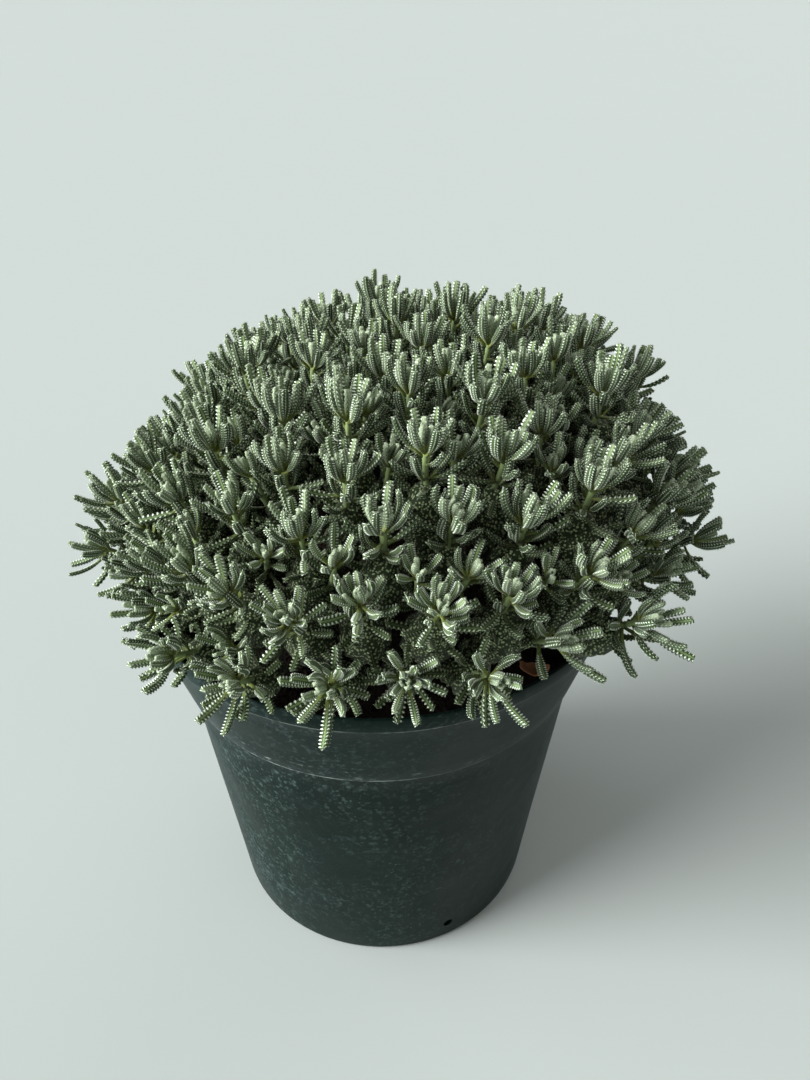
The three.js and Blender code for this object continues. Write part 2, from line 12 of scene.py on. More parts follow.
import bpy
import numpy as np
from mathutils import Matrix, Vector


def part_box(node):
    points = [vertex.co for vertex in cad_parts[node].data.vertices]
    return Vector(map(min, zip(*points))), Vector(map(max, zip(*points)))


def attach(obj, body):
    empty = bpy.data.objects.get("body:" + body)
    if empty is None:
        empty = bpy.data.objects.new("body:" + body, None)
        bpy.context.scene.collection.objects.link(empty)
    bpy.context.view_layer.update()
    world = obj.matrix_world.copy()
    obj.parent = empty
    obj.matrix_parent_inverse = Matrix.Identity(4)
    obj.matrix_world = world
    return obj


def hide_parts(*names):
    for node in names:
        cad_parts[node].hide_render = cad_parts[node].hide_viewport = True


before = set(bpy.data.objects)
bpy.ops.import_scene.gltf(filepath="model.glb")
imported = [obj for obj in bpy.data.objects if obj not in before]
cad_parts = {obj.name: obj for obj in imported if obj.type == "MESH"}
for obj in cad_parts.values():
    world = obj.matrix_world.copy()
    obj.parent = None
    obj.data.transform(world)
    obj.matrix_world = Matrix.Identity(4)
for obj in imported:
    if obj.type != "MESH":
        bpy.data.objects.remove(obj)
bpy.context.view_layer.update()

MM = 0.001
TURN = 2 * math.pi
GOLDEN_ANGLE = math.pi * (3 - math.sqrt(5))
UP = np.array([0.0, 0.0, 1.0])
LEAST_SWEEP = 1e-3
Number = float | np.ndarray
ProfilePoint = tuple[float, float]
Triple = tuple[float, float, float]
Rgba = tuple[float, float, float, float]

log = logging.getLogger("cotton_lavender")


def linear(code: str) -> Rgba:
    """Turns a screen colour into the linear colour that a shader socket takes.

    Args:
        code: Six hexadecimal digits after a hash.

    Returns:
        Red, green, blue and an alpha of one.
    """
    channels = [int(code[start:start + 2], 16) / 255 for start in (1, 3, 5)]
    red, green, blue = (c / 12.92 if c <= 0.04045 else ((c + 0.055) / 1.055) ** 2.4 for c in channels)
    return red, green, blue, 1.0


def unit(vector: np.ndarray) -> np.ndarray:
    """Gives the vector, or each row of an array of them, a length of one."""
    return vector / np.linalg.norm(vector, axis=-1, keepdims=True)


def blend(low: Number, high: Number, share: Number) -> Number:
    """Goes from low to high as share goes from 0 to 1."""
    return low + (high - low) * share


def within_one(value: float) -> float:
    """Keeps a value from 0 to 1."""
    return min(max(value, 0), 1)


def direction_to(azimuth: float, elevation: float) -> np.ndarray:
    """Gives the unit vector at an azimuth and an elevation in radians."""
    flat = math.cos(elevation)
    return np.array([flat * math.cos(azimuth), flat * math.sin(azimuth), math.sin(elevation)])


def turned_about(vector: np.ndarray, axis: np.ndarray, angle: float) -> np.ndarray:
    """Turns a vector about a unit axis by an angle in radians.

    Args:
        vector: The vector.
        axis: The unit axis.
        angle: The angle in radians.

    Returns:
        The turned vector.
    """
    cosine = math.cos(angle)
    along = axis * np.dot(axis, vector)
    return vector * cosine + np.cross(axis, vector) * math.sin(angle) + along * (1 - cosine)


class Wire:
    """A shader socket that adds its own Math nodes when it is used in an expression."""

    def __init__(self, board: "Board", socket: bpy.types.NodeSocket) -> None:
        """Keeps the socket and the board it belongs to."""
        self.board = board
        self.socket = socket

    def maths(self, operation: str, first: "Amount", second: "Amount") -> "Wire":
        """Adds one Math node and returns its result."""
        return self.board.node("ShaderNodeMath", {"operation": operation}, {0: first, 1: second})

    def __add__(self, other: "Amount") -> "Wire":
        """Adds."""
        return self.maths("ADD", self, other)

    def __radd__(self, other: "Amount") -> "Wire":
        """Adds to a number."""
        return self.maths("ADD", other, self)

    def __sub__(self, other: "Amount") -> "Wire":
        """Takes away."""
        return self.maths("SUBTRACT", self, other)

    def __rsub__(self, other: "Amount") -> "Wire":
        """Takes this from a number."""
        return self.maths("SUBTRACT", other, self)

    def __mul__(self, other: "Amount") -> "Wire":
        """Multiplies."""
        return self.maths("MULTIPLY", self, other)

    def __rmul__(self, other: "Amount") -> "Wire":
        """Multiplies a number."""
        return self.maths("MULTIPLY", other, self)


Amount = Wire | float
Colour = Wire | Rgba


class Board:
    """The node tree of one material."""

    def __init__(self, name: str) -> None:
        """Starts an empty material.

        Args:
            name: The material's name.
        """
        self.material = bpy.data.materials.new(name)
        self.material.use_nodes = True
        self.tree = self.material.node_tree
        self.tree.nodes.clear()

    def node(self, kind: str, settings: dict, values: dict, output: int | str = 0) -> Wire:
        """Adds any node.

        Args:
            kind: The node's type.
            settings: Its properties, set first.
            values: A value or a Wire for each input, by name or index.
            output: The output to hand back.

        Returns:
            The wire from that output.
        """
        made = self.tree.nodes.new(kind)
        for name, value in settings.items():
            setattr(made, name, value)
        for key, value in values.items():
            if isinstance(value, Wire):
                self.tree.links.new(value.socket, made.inputs[key])
            else:
                made.inputs[key].default_value = value
        return Wire(self, made.outputs[output])

    def place(self) -> Wire:
        """Gives the point on the piece in its own space, in metres."""
        return self.node("ShaderNodeTexCoord", {}, {}, "Object")

    def attribute(self, name: str) -> Wire:
        """Gives a number that is stored on the mesh."""
        return self.node("ShaderNodeAttribute", {"attribute_name": name}, {}, "Fac")

    def axis(self, vector: Wire, name: str) -> Wire:
        """Gives one coordinate of a vector, by its letter."""
        return self.node("ShaderNodeSeparateXYZ", {}, {0: vector}, name)

    def noise(self, vector: Wire, size: float, detail: float = 3.0, rough: float = 0.55) -> Wire:
        """Gives a cloudy value from 0 to 1.

        Args:
            vector: Where to read it.
            size: The width of a cloud in metres.
            detail: How many finer layers it has.
            rough: How strong the finer layers are.

        Returns:
            The value.
        """
        values = {"Vector": vector, "Scale": 1 / size, "Detail": detail, "Roughness": rough}
        return self.node("ShaderNodeTexNoise", {}, values, 0)

    def spots(self, vector: Wire, size: float) -> Wire:
        """Gives the distance to scattered points, from 0 at a point, for cells of a size in metres."""
        return self.node("ShaderNodeTexVoronoi", {}, {"Vector": vector, "Scale": 1 / size}, "Distance")

    def stretched(self, vector: Wire, shape: Triple) -> Wire:
        """Scales a vector along each axis."""
        return self.node("ShaderNodeMapping", {}, {"Vector": vector, "Scale": shape})

    def rise(self, value: Wire, low: float, high: float) -> Wire:
        """Goes smoothly from 0 at low to 1 at high."""
        settings = {"interpolation_type": "SMOOTHSTEP"}
        return self.node("ShaderNodeMapRange", settings, {0: value, 1: low, 2: high, 3: 0.0, 4: 1.0})

    def mix(self, share: Amount, first: Colour, second: Colour) -> Wire:
        """Mixes two colours.

        Args:
            share: How much of the second there is.
            first: A colour or a wire.
            second: A colour or a wire.

        Returns:
            The mixed colour.
        """
        return self.node("ShaderNodeMix", {"data_type": "RGBA"}, {0: share, 6: first, 7: second}, 2)

    def bump(self, height: Wire, depth: float, below: Wire | None = None) -> Wire:
        """Turns a height from 0 to 1 into a normal.

        Args:
            height: The height.
            depth: What a height of one is worth, in metres.
            below: A normal to work on top of.

        Returns:
            The normal.
        """
        values = {"Height": height, "Distance": depth, "Strength": 1.0}
        if below is not None:
            values["Normal"] = below
        return self.node("ShaderNodeBump", {}, values)

    def finish(self, colour: Wire, rough: Amount, normal: Wire, constants: dict) -> bpy.types.Material:
        """Ends the tree in one surface shader.

        Args:
            colour: The base colour.
            rough: The roughness, a number or a wire.
            normal: The surface's normal.
            constants: Values for the shader's other sockets.

        Returns:
            The material.
        """
        values = {"Base Color": colour, "Roughness": rough, "Normal": normal, **constants}
        shader = self.node("ShaderNodeBsdfPrincipled", {}, values)
        output = self.tree.nodes.new("ShaderNodeOutputMaterial")
        self.tree.links.new(shader.socket, output.inputs["Surface"])
        return self.material


@dataclass(frozen=True)
class PotPlastic:
    """Thin moulded plastic, dark blue-green, dusty, speckled and scuffed from the nursery bench.
    Its left side carries painted light: a pale painted sheen along the edge, and a dusty film laid heavier
    there.
    """

    base: str = "#04120f"
    worn: str = "#071714"
    green: str = "#071a12"
    # A pale grey-teal, used for real dusting and also for the painted sheen along the left edge.
    dust_and_sheen: str = "#667b77"
    scuff: str = "#b4bfba"
    bloom: str = "#b3d0d0"
    ring_z: float = 0.1264
    lip_z: float = 0.1606
    smudge_lift: float = 0.004
    cloud_size: float = 0.045
    stain_size: float = 0.09
    dust_size: float = 0.03
    haze_size: float = 0.012
    blotch_size: float = 0.0034
    fleck_size: float = 0.0017
    small_speck: tuple[float, float] = (0.0026, 0.26)
    large_speck: tuple[float, float] = (0.0067, 0.2)
    hairline_size: float = 0.016
    rub_size: float = 0.011
    graze_size: float = 0.009
    grain_size: float = 0.0009
    grain_depth: float = 0.00005
    dent_size: float = 0.03
    dent_depth: float = 0.0008

    def material(self) -> bpy.types.Material:
        """Builds the material.

        Returns:
            The material.
        """
        board = Board("pot_plastic")
        place = board.place()
        cloud = board.noise(place, self.cloud_size, 4)
        colour = board.mix(board.rise(cloud, 0.3, 0.75), linear(self.base), linear(self.worn))
        stain = board.noise(board.stretched(place, (1, 1, 0.5)), self.stain_size, 3)
        colour = board.mix(board.rise(stain, 0.4, 0.7) * 0.7, colour, linear(self.green))
        # Painted light: the dusty film is laid heavier towards the pot's left, the lit side, so its amount
        # is partly real dusting and partly painted light.
        left = board.rise(board.axis(place, "X"), 0.05, -0.045)
        dust_and_left_light = board.rise(board.noise(place, self.dust_size, 3), 0.3, 0.66) * (left * 0.6 + 0.4)
        speck = self.specks(board, place, *self.small_speck) + self.specks(board, place, *self.large_speck)
        colour = self.dusted(board, place, colour, dust_and_left_light, speck)
        colour = self.scuffed(board, place, colour, cloud)
        rough = 0.34 + cloud * 0.14 + dust_and_left_light * 0.12 + speck * 0.2
        normal = board.bump(board.noise(place, self.grain_size, 3), self.grain_depth)
        normal = board.bump(board.noise(place, self.dent_size, 2), self.dent_depth, normal)
        gloss = {"Specular IOR Level": 0.1, "IOR": 1.49}
        bloom = {"Sheen Weight": 0.05, "Sheen Roughness": 0.3, "Sheen Tint": linear(self.bloom)}
        return board.finish(colour, rough, normal, {**gloss, **bloom})

    def dusted(self, board: Board, place: Wire, colour: Wire, dust_and_left_light: Wire, speck: Wire) -> Wire:
        """Lays a thin dusty film, blotches, flecks and specks on the plastic, and a pale painted sheen along
        its left edge.

        Args:
            board: The material's board.
            place: The point on the pot.
            colour: The clean colour.
            dust_and_left_light: How heavy the dusty layer lies, raised on the left side as painted light.
            speck: The specks.

        Returns:
            The dusty colour.
        """
        # Painted sheen: a pale film along the pot's left edge, where the light falls, laid on top of the
        # dusty film.
        edge = board.rise(board.axis(place, "X"), -0.04, -0.085)
        haze = board.noise(place, self.haze_size, 5, 0.7)
        film = board.rise(haze, 0.4, 0.75) * dust_and_left_light * 0.04 + edge * board.rise(haze, 0.3, 0.7) * 0.1
        colour = board.mix(film, colour, linear(self.dust_and_sheen))
        blotch = board.rise(board.noise(place, self.blotch_size, 3, 0.62), 0.5, 0.66)
        fleck = board.rise(board.noise(place, self.fleck_size, 2, 0.6), 0.56, 0.68)
        colour = board.mix((blotch * 0.1 + fleck * 0.17) * dust_and_left_light, colour, linear(self.dust_and_sheen))
        return board.mix(speck * 0.26, colour, linear(self.dust_and_sheen))

    def scuffed(self, board: Board, place: Wire, colour: Wire, cloud: Wire) -> Wire:
        """Scratches the wall and scuffs the ring line and the lip, the ring line's scuffs and smudges
        strongest on the front-left side.

        Args:
            board: The material's board.
            place: The point on the pot.
            colour: The dusty colour.
            cloud: Where the wall is worn.

        Returns:
            The scuffed colour.
        """
        height = board.axis(place, "Z")
        hairline = board.noise(board.stretched(place, (1, 1, 7)), self.hairline_size, 4, 0.7)
        scratch = board.rise(hairline, 0.66, 0.72) * board.rise(cloud, 0.4, 0.6)
        colour = board.mix(scratch * 0.25, colour, linear(self.dust_and_sheen))
        rubbed = board.rise(board.noise(place, self.rub_size, 5, 0.75), 0.4, 0.62)
        # The ring line's scuffs and smudges are strongest on the front-left side of the pot.
        facing = board.axis(place, "X") * -0.5 + board.axis(place, "Y") * -0.86
        front_left_share = board.rise(facing, 0.055, 0.08) * 0.8 + 0.2
        ring = 1 - board.rise(self.away(board, height, self.ring_z), 0.0002, 0.0013)
        colour = board.mix(ring * front_left_share * (rubbed * 0.85 + 0.08), colour, linear(self.scuff))
        smudge = 1 - board.rise(self.away(board, height, self.ring_z + self.smudge_lift), 0.001, 0.004)
        streaks = board.noise(board.stretched(place, (1, 1, 3)), self.graze_size, 5, 0.7)
        graze = board.rise(streaks, 0.58, 0.68)
        colour = board.mix(smudge * graze * front_left_share * 0.5, colour, linear(self.scuff))
        lip = 1 - board.rise(self.away(board, height, self.lip_z), 0.0001, 0.0008)
        return board.mix(lip * (rubbed * 0.35), colour, linear(self.scuff))

    def specks(self, board: Board, place: Wire, size: float, reach: float) -> Wire:
        """Gives pale specks, where a cloud lets them show."""
        cells = 1 - board.rise(board.spots(place, size), reach * 0.4, reach)
        return cells * board.rise(board.noise(place, size * 9, 3), 0.48, 0.72)

    def away(self, board: Board, height: Wire, level: float) -> Wire:
        """Gives the distance up or down from a level."""
        return board.node("ShaderNodeMath", {"operation": "ABSOLUTE"}, {0: height - level})


@dataclass(frozen=True)
class PottingMix:
    """Dark, crumbly bark and peat."""

    dark: str = "#0f0c09"
    brown: str = "#261d15"
    fibre: str = "#4d3e2d"
    clump_size: float = 0.006
    fibre_size: float = 0.0018
    crumb_size: float = 0.0016
    crumb_depth: float = 0.0005

    def material(self) -> bpy.types.Material:
        """Builds the material.

        Returns:
            The material.
        """
        board = Board("potting_mix")
        place = board.place()
        clumps = board.noise(place, self.clump_size, 5, 0.7)
        colour = board.mix(clumps, linear(self.dark), linear(self.brown))
        fibres = board.noise(board.stretched(place, (1, 0.25, 1)), self.fibre_size, 3)
        colour = board.mix(board.rise(fibres, 0.62, 0.74) * 0.6, colour, linear(self.fibre))
        normal = board.bump(1 - board.spots(place, self.crumb_size), self.crumb_depth)
        return board.finish(colour, 0.95, normal, {"Specular IOR Level": 0.25})


@dataclass(frozen=True)
class Bark:
    """Grey-brown bark with long cracks."""

    grey: str = "#7d7062"
    brown: str = "#4a3a2b"
    crack_size: float = 0.0016
    crack_depth: float = 0.0006
    stain_size: float = 0.009

    def material(self) -> bpy.types.Material:
        """Builds the material.

        Returns:
            The material.
        """
        board = Board("bark")
        place = board.place()
        cracks = board.noise(board.stretched(place, (1, 1, 0.22)), self.crack_size, 5, 0.65)
        colour = board.mix(board.rise(cracks, 0.35, 0.65), linear(self.brown), linear(self.grey))
        colour = board.mix(board.noise(place, self.stain_size, 2) * 0.4, colour, linear(self.brown))
        normal = board.bump(cracks, self.crack_depth)
        return board.finish(colour, 0.9, normal, {"Specular IOR Level": 0.2})


@dataclass(frozen=True)
class WoollyLeaf:
    """Grey-green leaf under silver wool, palest on its knobs, yellow-green where it is young.
    Its colour also carries painted shade: a dark green between the knobs, a near-black on old leaves deep in
    the bush that is partly their own colour, and a cooler green on low shoots to the right that is partly
    random.

    The mesh carries along, age, tint, channel, wool and mass, each from 0 to 1, the place across and
    over on the straight leaf's section, and station, which counts the beads from stalk to tip.
    """

    heart: str = "#8a9340"
    green: str = "#66803f"
    # A cooler green: partly random tone, partly painted shade on low shoots to the right.
    cool: str = "#4f7e58"
    # Painted shade: the dark green laid between the beads, where shade falls.
    valley: str = "#2a3f20"
    channel: str = "#8aa06c"
    # Near-black green of old leaves deep in the bush: partly their own colour, partly painted shade.
    deep: str = "#121c07"
    bead: str = "#e6eedf"
    old_bead: str = "#95a37a"
    fuzz: str = "#eef0e4"
    rows: int = 5
    row_turn: float = 275
    unrest_size: float = 0.0011
    mass_pitch: float = 0.00095
    patch_size: float = 0.0013
    bead_depth: float = 0.0003
    hair_size: float = 0.00025
    hair_depth: float = 0.00006

    def beads(self, board: Board, place: Wire) -> Wire:
        """Gives the height of the beads, in staggered rows along the leaf.

        Args:
            board: The material's board.
            place: The point on the leaf.

        Returns:
            The height from 0 to 1.
        """
        section = {0: board.attribute("across"), 1: board.attribute("over")}
        around = board.node("ShaderNodeMath", {"operation": "ARCTAN2"}, section)
        row = self.cosine(board, around * self.rows - math.radians(self.row_turn))
        step = self.cosine(board, board.attribute("station") * TURN)
        unrest = board.noise(place, self.unrest_size, 2)
        return board.rise(row * row * row * step + unrest * 0.5 - 0.25, 0.0, 0.55)

    def cosine(self, board: Board, angle: Wire) -> Wire:
        """Gives the cosine of an angle."""
        return board.node("ShaderNodeMath", {"operation": "COSINE"}, {0: angle})

    def material(self) -> bpy.types.Material:
        """Builds the material.

        Returns:
            The material.
        """
        board = Board("woolly_leaf")
        place = board.place()
        age = board.attribute("age")
        inner = board.rise(board.attribute("channel"), 0.6, 0.96)
        wool = board.attribute("wool")
        mass = board.attribute("mass")
        scattered = 1 - board.rise(board.spots(place, self.mass_pitch), 0.24, 0.5)
        dot = self.beads(board, place) * (1 - mass) + scattered * mass
        crown = dot * (1 - inner * 0.9) * board.rise(board.attribute("station"), -0.6, 0.6)
        # Painted shade between the beads, away from the channel and the wool.
        colour = self.blade(board, place, age, inner, (1 - dot) * (1 - inner) * (1 - wool))
        fleece = board.mix(0.45, linear(self.channel), linear(self.bead))
        colour = board.mix(wool * board.rise(board.attribute("along"), 0.1, 0.9), colour, fleece)
        bead = board.mix(board.rise(age, 0.1, 0.9), linear(self.bead), linear(self.old_bead))
        colour = board.mix(crown * (1 - wool * 0.6), colour, bead)
        normal = board.bump(dot * (1 - wool * 0.5), self.bead_depth)
        normal = board.bump(board.noise(place, self.hair_size, 2, 0.7), self.hair_depth, normal)
        sheen = {"Sheen Weight": 0.14, "Sheen Roughness": 0.5, "Sheen Tint": linear(self.fuzz)}
        return board.finish(colour, 0.75, normal, {"Specular IOR Level": 0.2, **sheen})

    def blade(self, board: Board, place: Wire, age: Wire, inner: Wire, sunk: Wire) -> Wire:
        """Gives the leaf's colour without its wool and beads, with the painted shade that it carries.

        Args:
            board: The material's board.
            place: The point on the leaf.
            age: The leaf's age from 0 to 1.
            inner: Where the channel is.
            sunk: Where it lies between the beads, which is darkened there with painted shade.

        Returns:
            The colour.
        """
        # The cooler tint, partly random and partly painted shade on low shoots to the right.
        cool = board.rise(board.attribute("tint"), 0.35, 1.0)
        colour = board.mix(cool * 0.7, linear(self.green), linear(self.cool))
        # Painted shade: darker green between the beads.
        colour = board.mix(sunk * 0.85, colour, linear(self.valley))
        film = inner * (board.noise(place, self.patch_size, 3) * 0.5 + 0.4)
        colour = board.mix(film * (1 - age * 0.6), colour, linear(self.channel))
        root = (1 - board.rise(board.attribute("along"), 0.05, 0.5)) * (1 - age)
        colour = board.mix(root * 0.85, colour, linear(self.heart))
        # Darkening with age towards near-black, for old leaves, cores and stalk feet deep in the bush:
        # partly their own colour, partly painted shade.
        return board.mix(age * 0.85, colour, linear(self.deep))


@dataclass(frozen=True)
class DryBlade:
    """A dead leaf, rusty brown and matt."""

    rust: str = "#dba27a"
    dark: str = "#9c6a4e"
    patch_size: float = 0.003
    crease_size: float = 0.0008
    crease_depth: float = 0.0002

    def material(self) -> bpy.types.Material:
        """Builds the material.

        Returns:
            The material.
        """
        board = Board("dry_blade")
        place = board.place()
        patches = board.noise(place, self.patch_size, 4, 0.65)
        colour = board.mix(patches, linear(self.dark), linear(self.rust))
        normal = board.bump(board.noise(place, self.crease_size, 3), self.crease_depth)
        return board.finish(colour, 0.85, normal, {"Specular IOR Level": 0.25})


@dataclass(frozen=True)
class PaleFloor:
    """The plain, pale studio floor."""

    shade: str = "#a0a6a4"
    base: str = "#aab0ae"
    cloud_size: float = 0.4
    cloud_depth: float = 0.0001

    def material(self) -> bpy.types.Material:
        """Builds the material.

        Returns:
            The material.
        """
        board = Board("pale_floor")
        cloud = board.noise(board.place(), self.cloud_size, 2)
        colour = board.mix(cloud * 0.12, linear(self.base), linear(self.shade))
        normal = board.bump(cloud, self.cloud_depth)
        return board.finish(colour, 0.9, normal, {"Specular IOR Level": 0.1})


class Bench:
    """The few hand moves that the pieces are modelled with."""

    @staticmethod
    def put_down() -> None:
        """Deselects everything."""
        bpy.ops.object.select_all(action="DESELECT")

    @staticmethod
    def take(piece: bpy.types.Object) -> None:
        """Makes one piece the only one that is selected.

        Args:
            piece: The piece.
        """
        Bench.put_down()
        piece.select_set(True)
        bpy.context.view_layer.objects.active = piece

    @staticmethod
    def ring(sides: int, radius: float, z: float, fill: str = "NOTHING") -> bpy.types.Object:
        """Adds a ring of edges about the Z axis and goes into edit mode with it selected.

        Args:
            sides: How many corners it has.
            radius: Its radius.
            z: Its height.
            fill: How it is filled.

        Returns:
            The new piece.
        """
        Bench.put_down()
        bpy.ops.mesh.primitive_circle_add(vertices=sides, radius=radius, fill_type=fill, location=(0, 0, z))
        piece = bpy.context.object
        bpy.ops.object.transform_apply(location=True)
        bpy.ops.object.mode_set(mode="EDIT")
        bpy.ops.mesh.select_all(action="SELECT")
        return piece

    @staticmethod
    def extrude(lift: float, scale: float, z: float) -> None:
        """Extrudes the selected ring up and scales it about the Z axis.

        Args:
            lift: How far up.
            scale: What its radius is multiplied by.
            z: Its height afterwards.
        """
        bpy.ops.mesh.extrude_region_move(TRANSFORM_OT_translate={"value": (0, 0, lift)})
        bpy.ops.transform.resize(value=(scale, scale, 1), center_override=(0, 0, z))

    @staticmethod
    def close() -> None:
        """Turns all faces outwards and leaves edit mode."""
        bpy.ops.mesh.select_all(action="SELECT")
        bpy.ops.mesh.normals_make_consistent(inside=False)
        bpy.ops.object.mode_set(mode="OBJECT")

    @staticmethod
    def turned(profile: list[ProfilePoint], sides: int) -> bpy.types.Object:
        """Turns a profile about the Z axis and closes both of its ends.

        Args:
            profile: Radius and height in millimetres, from one end to the other.
            sides: How many corners it has round the axis.

        Returns:
            The new piece.
        """
        piece = Bench.ring(sides, profile[0][0] * MM, profile[0][1] * MM)
        bpy.ops.mesh.edge_face_add()
        for (radius_before, z_before), (radius, z) in zip(profile, profile[1:]):
            Bench.extrude((z - z_before) * MM, radius / radius_before, z * MM)
        Bench.close()
        return piece

    @staticmethod
    def apply(piece: bpy.types.Object, kind: str, **settings: object) -> None:
        """Adds a modifier to a piece and applies it.

        Args:
            piece: The piece.
            kind: The modifier's type.
            **settings: Its properties.
        """
        Bench.take(piece)
        modifier = piece.modifiers.new(kind.lower(), kind)
        for name, value in settings.items():
            setattr(modifier, name, value)
        bpy.ops.object.modifier_apply(modifier=modifier.name)

    @staticmethod
    def dress(
        piece: bpy.types.Object, name: str, slot: str, nodes: list[str], finish: bpy.types.Material
    ) -> None:
        """Names a finished piece, gives it its material and ties it to the frame.

        Args:
            piece: The piece.
            name: Its name.
            slot: The record's material slot; it is not used.
            nodes: The solids it stands for.
            finish: The material.
        """
        piece.name = name
        piece.data.materials.clear()
        piece.data.materials.append(finish)
        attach(piece, "root")
        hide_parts(*nodes)
        log.info("%s: %d faces", name, len(piece.data.polygons))


def points_of(mesh: bpy.types.Mesh) -> np.ndarray:
    """Reads a mesh's points.

    Args:
        mesh: The mesh.

    Returns:
        The points as rows.
    """
    flat = np.zeros(len(mesh.vertices) * 3)
    mesh.vertices.foreach_get("co", flat)
    return flat.reshape(-1, 3)


def move_points(mesh: bpy.types.Mesh, points: np.ndarray) -> None:
    """Writes a mesh's points back."""
    mesh.vertices.foreach_set("co", points.ravel())
    mesh.update()


@dataclass
class Shape:
    """A closed form as arrays: points, the corners of its faces in turn, and where each face starts."""

    points: np.ndarray
    corners: np.ndarray
    starts: np.ndarray
    marks: dict[str, np.ndarray] = field(default_factory=dict)

    @classmethod
    def of(cls, mesh: bpy.types.Mesh) -> "Shape":
        """Reads a mesh.

        Args:
            mesh: The mesh.

        Returns:
            Its shape.
        """
        corners = np.zeros(len(mesh.loops), np.int32)
        mesh.loops.foreach_get("vertex_index", corners)
        starts = np.zeros(len(mesh.polygons), np.int32)
        mesh.polygons.foreach_get("loop_start", starts)
        return cls(points_of(mesh), corners, starts)

    def moved(self, points: np.ndarray, **marks: float) -> "Shape":
        """Gives a copy with other points, and with numbers that are the same all over it."""
        extra = {name: np.full(len(points), value) for name, value in marks.items()}
        return Shape(points, self.corners, self.starts, {**self.marks, **extra})


class Gathering:
    """Many shapes on their way into one mesh."""

    MARKS = ("along", "age", "tint", "channel", "wool", "across", "over", "station", "mass")

    def __init__(self) -> None:
        """Starts empty."""
        self.shapes: list[Shape] = []

    def add(self, shape: Shape) -> None:
        """Adds a shape."""
        self.shapes.append(shape)

    def piece(self, name: str) -> bpy.types.Object:
        """Writes all shapes as one smooth mesh, scaled to metres.

        Args:
            name: The piece's name.

        Returns:
            The new piece.
        """
        counts = [len(shape.points) for shape in self.shapes]
        firsts = np.cumsum([0, *counts[:-1]])
        loops = np.cumsum([0, *[len(shape.corners) for shape in self.shapes[:-1]]])
        points = np.concatenate([shape.points for shape in self.shapes]) * MM
        corners = np.concatenate([s.corners + first for s, first in zip(self.shapes, firsts)])
        starts = np.concatenate([s.starts + first for s, first in zip(self.shapes, loops)])
        mesh = bpy.data.meshes.new(name)
        mesh.vertices.add(len(points))
        mesh.vertices.foreach_set("co", points.ravel())
        mesh.loops.add(len(corners))
        mesh.loops.foreach_set("vertex_index", corners.astype(np.int32))
        mesh.polygons.add(len(starts))
        mesh.polygons.foreach_set("loop_start", starts.astype(np.int32))
        for mark in self.MARKS:
            values = [s.marks.get(mark, np.zeros(len(s.points))) for s in self.shapes]
            stored = mesh.attributes.new(mark, "FLOAT", "POINT")
            stored.data.foreach_set("value", np.concatenate(values).astype(np.float32))
        mesh.update(calc_edges=True)
        mesh.validate()
        mesh.shade_smooth()
        piece = bpy.data.objects.new(name, mesh)
        bpy.context.scene.collection.objects.link(piece)
        return piece


def swept(path: np.ndarray, radii: np.ndarray, sides: int) -> Shape:
    """Sweeps a round section along a path and closes both ends.

    Args:
        path: The points that the centre follows.
        radii: The radius at each of them.
        sides: The number of sides.

    Returns:
        The closed tube.
    """
    ahead = unit(np.gradient(path, axis=0))
    across = np.cross(ahead[0], [0.3, 0.9, 0.2])
    rings = []
    for centre, heading, radius in zip(path, ahead, radii):
        across = unit(across - heading * np.dot(across, heading))
        beside = np.cross(heading, across)
        angles = np.arange(sides)[:, None] * TURN / sides
        rings.append(centre + radius * (across * np.cos(angles) + beside * np.sin(angles)))
    count = len(path)
    corners = []
    for ring in range(count - 1):
        for side in range(sides):
            near = ring * sides + side
            far = ring * sides + (side + 1) % sides
            corners.append([near, far, far + sides, near + sides])
    quads = np.array(corners, np.int32)
    last = (count - 1) * sides
    ends = [np.arange(sides)[::-1], last + np.arange(sides)]
    starts = [np.arange(len(quads)) * 4, [len(quads) * 4, len(quads) * 4 + sides]]
    loops = np.concatenate([quads.ravel(), *ends])
    return Shape(np.concatenate(rings), loops, np.concatenate(starts))


def arc_between(start: np.ndarray, knee: np.ndarray, end: np.ndarray, count: int) -> np.ndarray:
    """Gives points on the smooth curve that leaves start towards knee and arrives at end from it."""
    share = np.linspace(0, 1, count)[:, None]
    return start * (1 - share) ** 2 + knee * 2 * share * (1 - share) + end * share ** 2


@dataclass
class Draws:
    """The small seeded generator that the plant grows from."""

    MULTIPLIER = 1664525
    INCREMENT = 1013904223
    MODULUS = 2 ** 32

    state: int

    def share(self) -> float:
        """Gives the next number from 0 to 1."""
        self.state = (self.state * self.MULTIPLIER + self.INCREMENT) % self.MODULUS
        return self.state / self.MODULUS

    def between(self, low: float, high: float) -> float:
        """Gives the next number between two others."""
        return low + (high - low) * self.share()


@dataclass(frozen=True)
class Shoot:
    """One shoot: the middle of its heart, the way it points, and where its leafy part begins."""

    heart: np.ndarray
    axis: np.ndarray
    below: np.ndarray


@dataclass(frozen=True)
class Swell:
    """A place where the dome swells out or falls in. Angles are in degrees."""

    azimuth: float
    elevation: float
    width: float
    gain: float


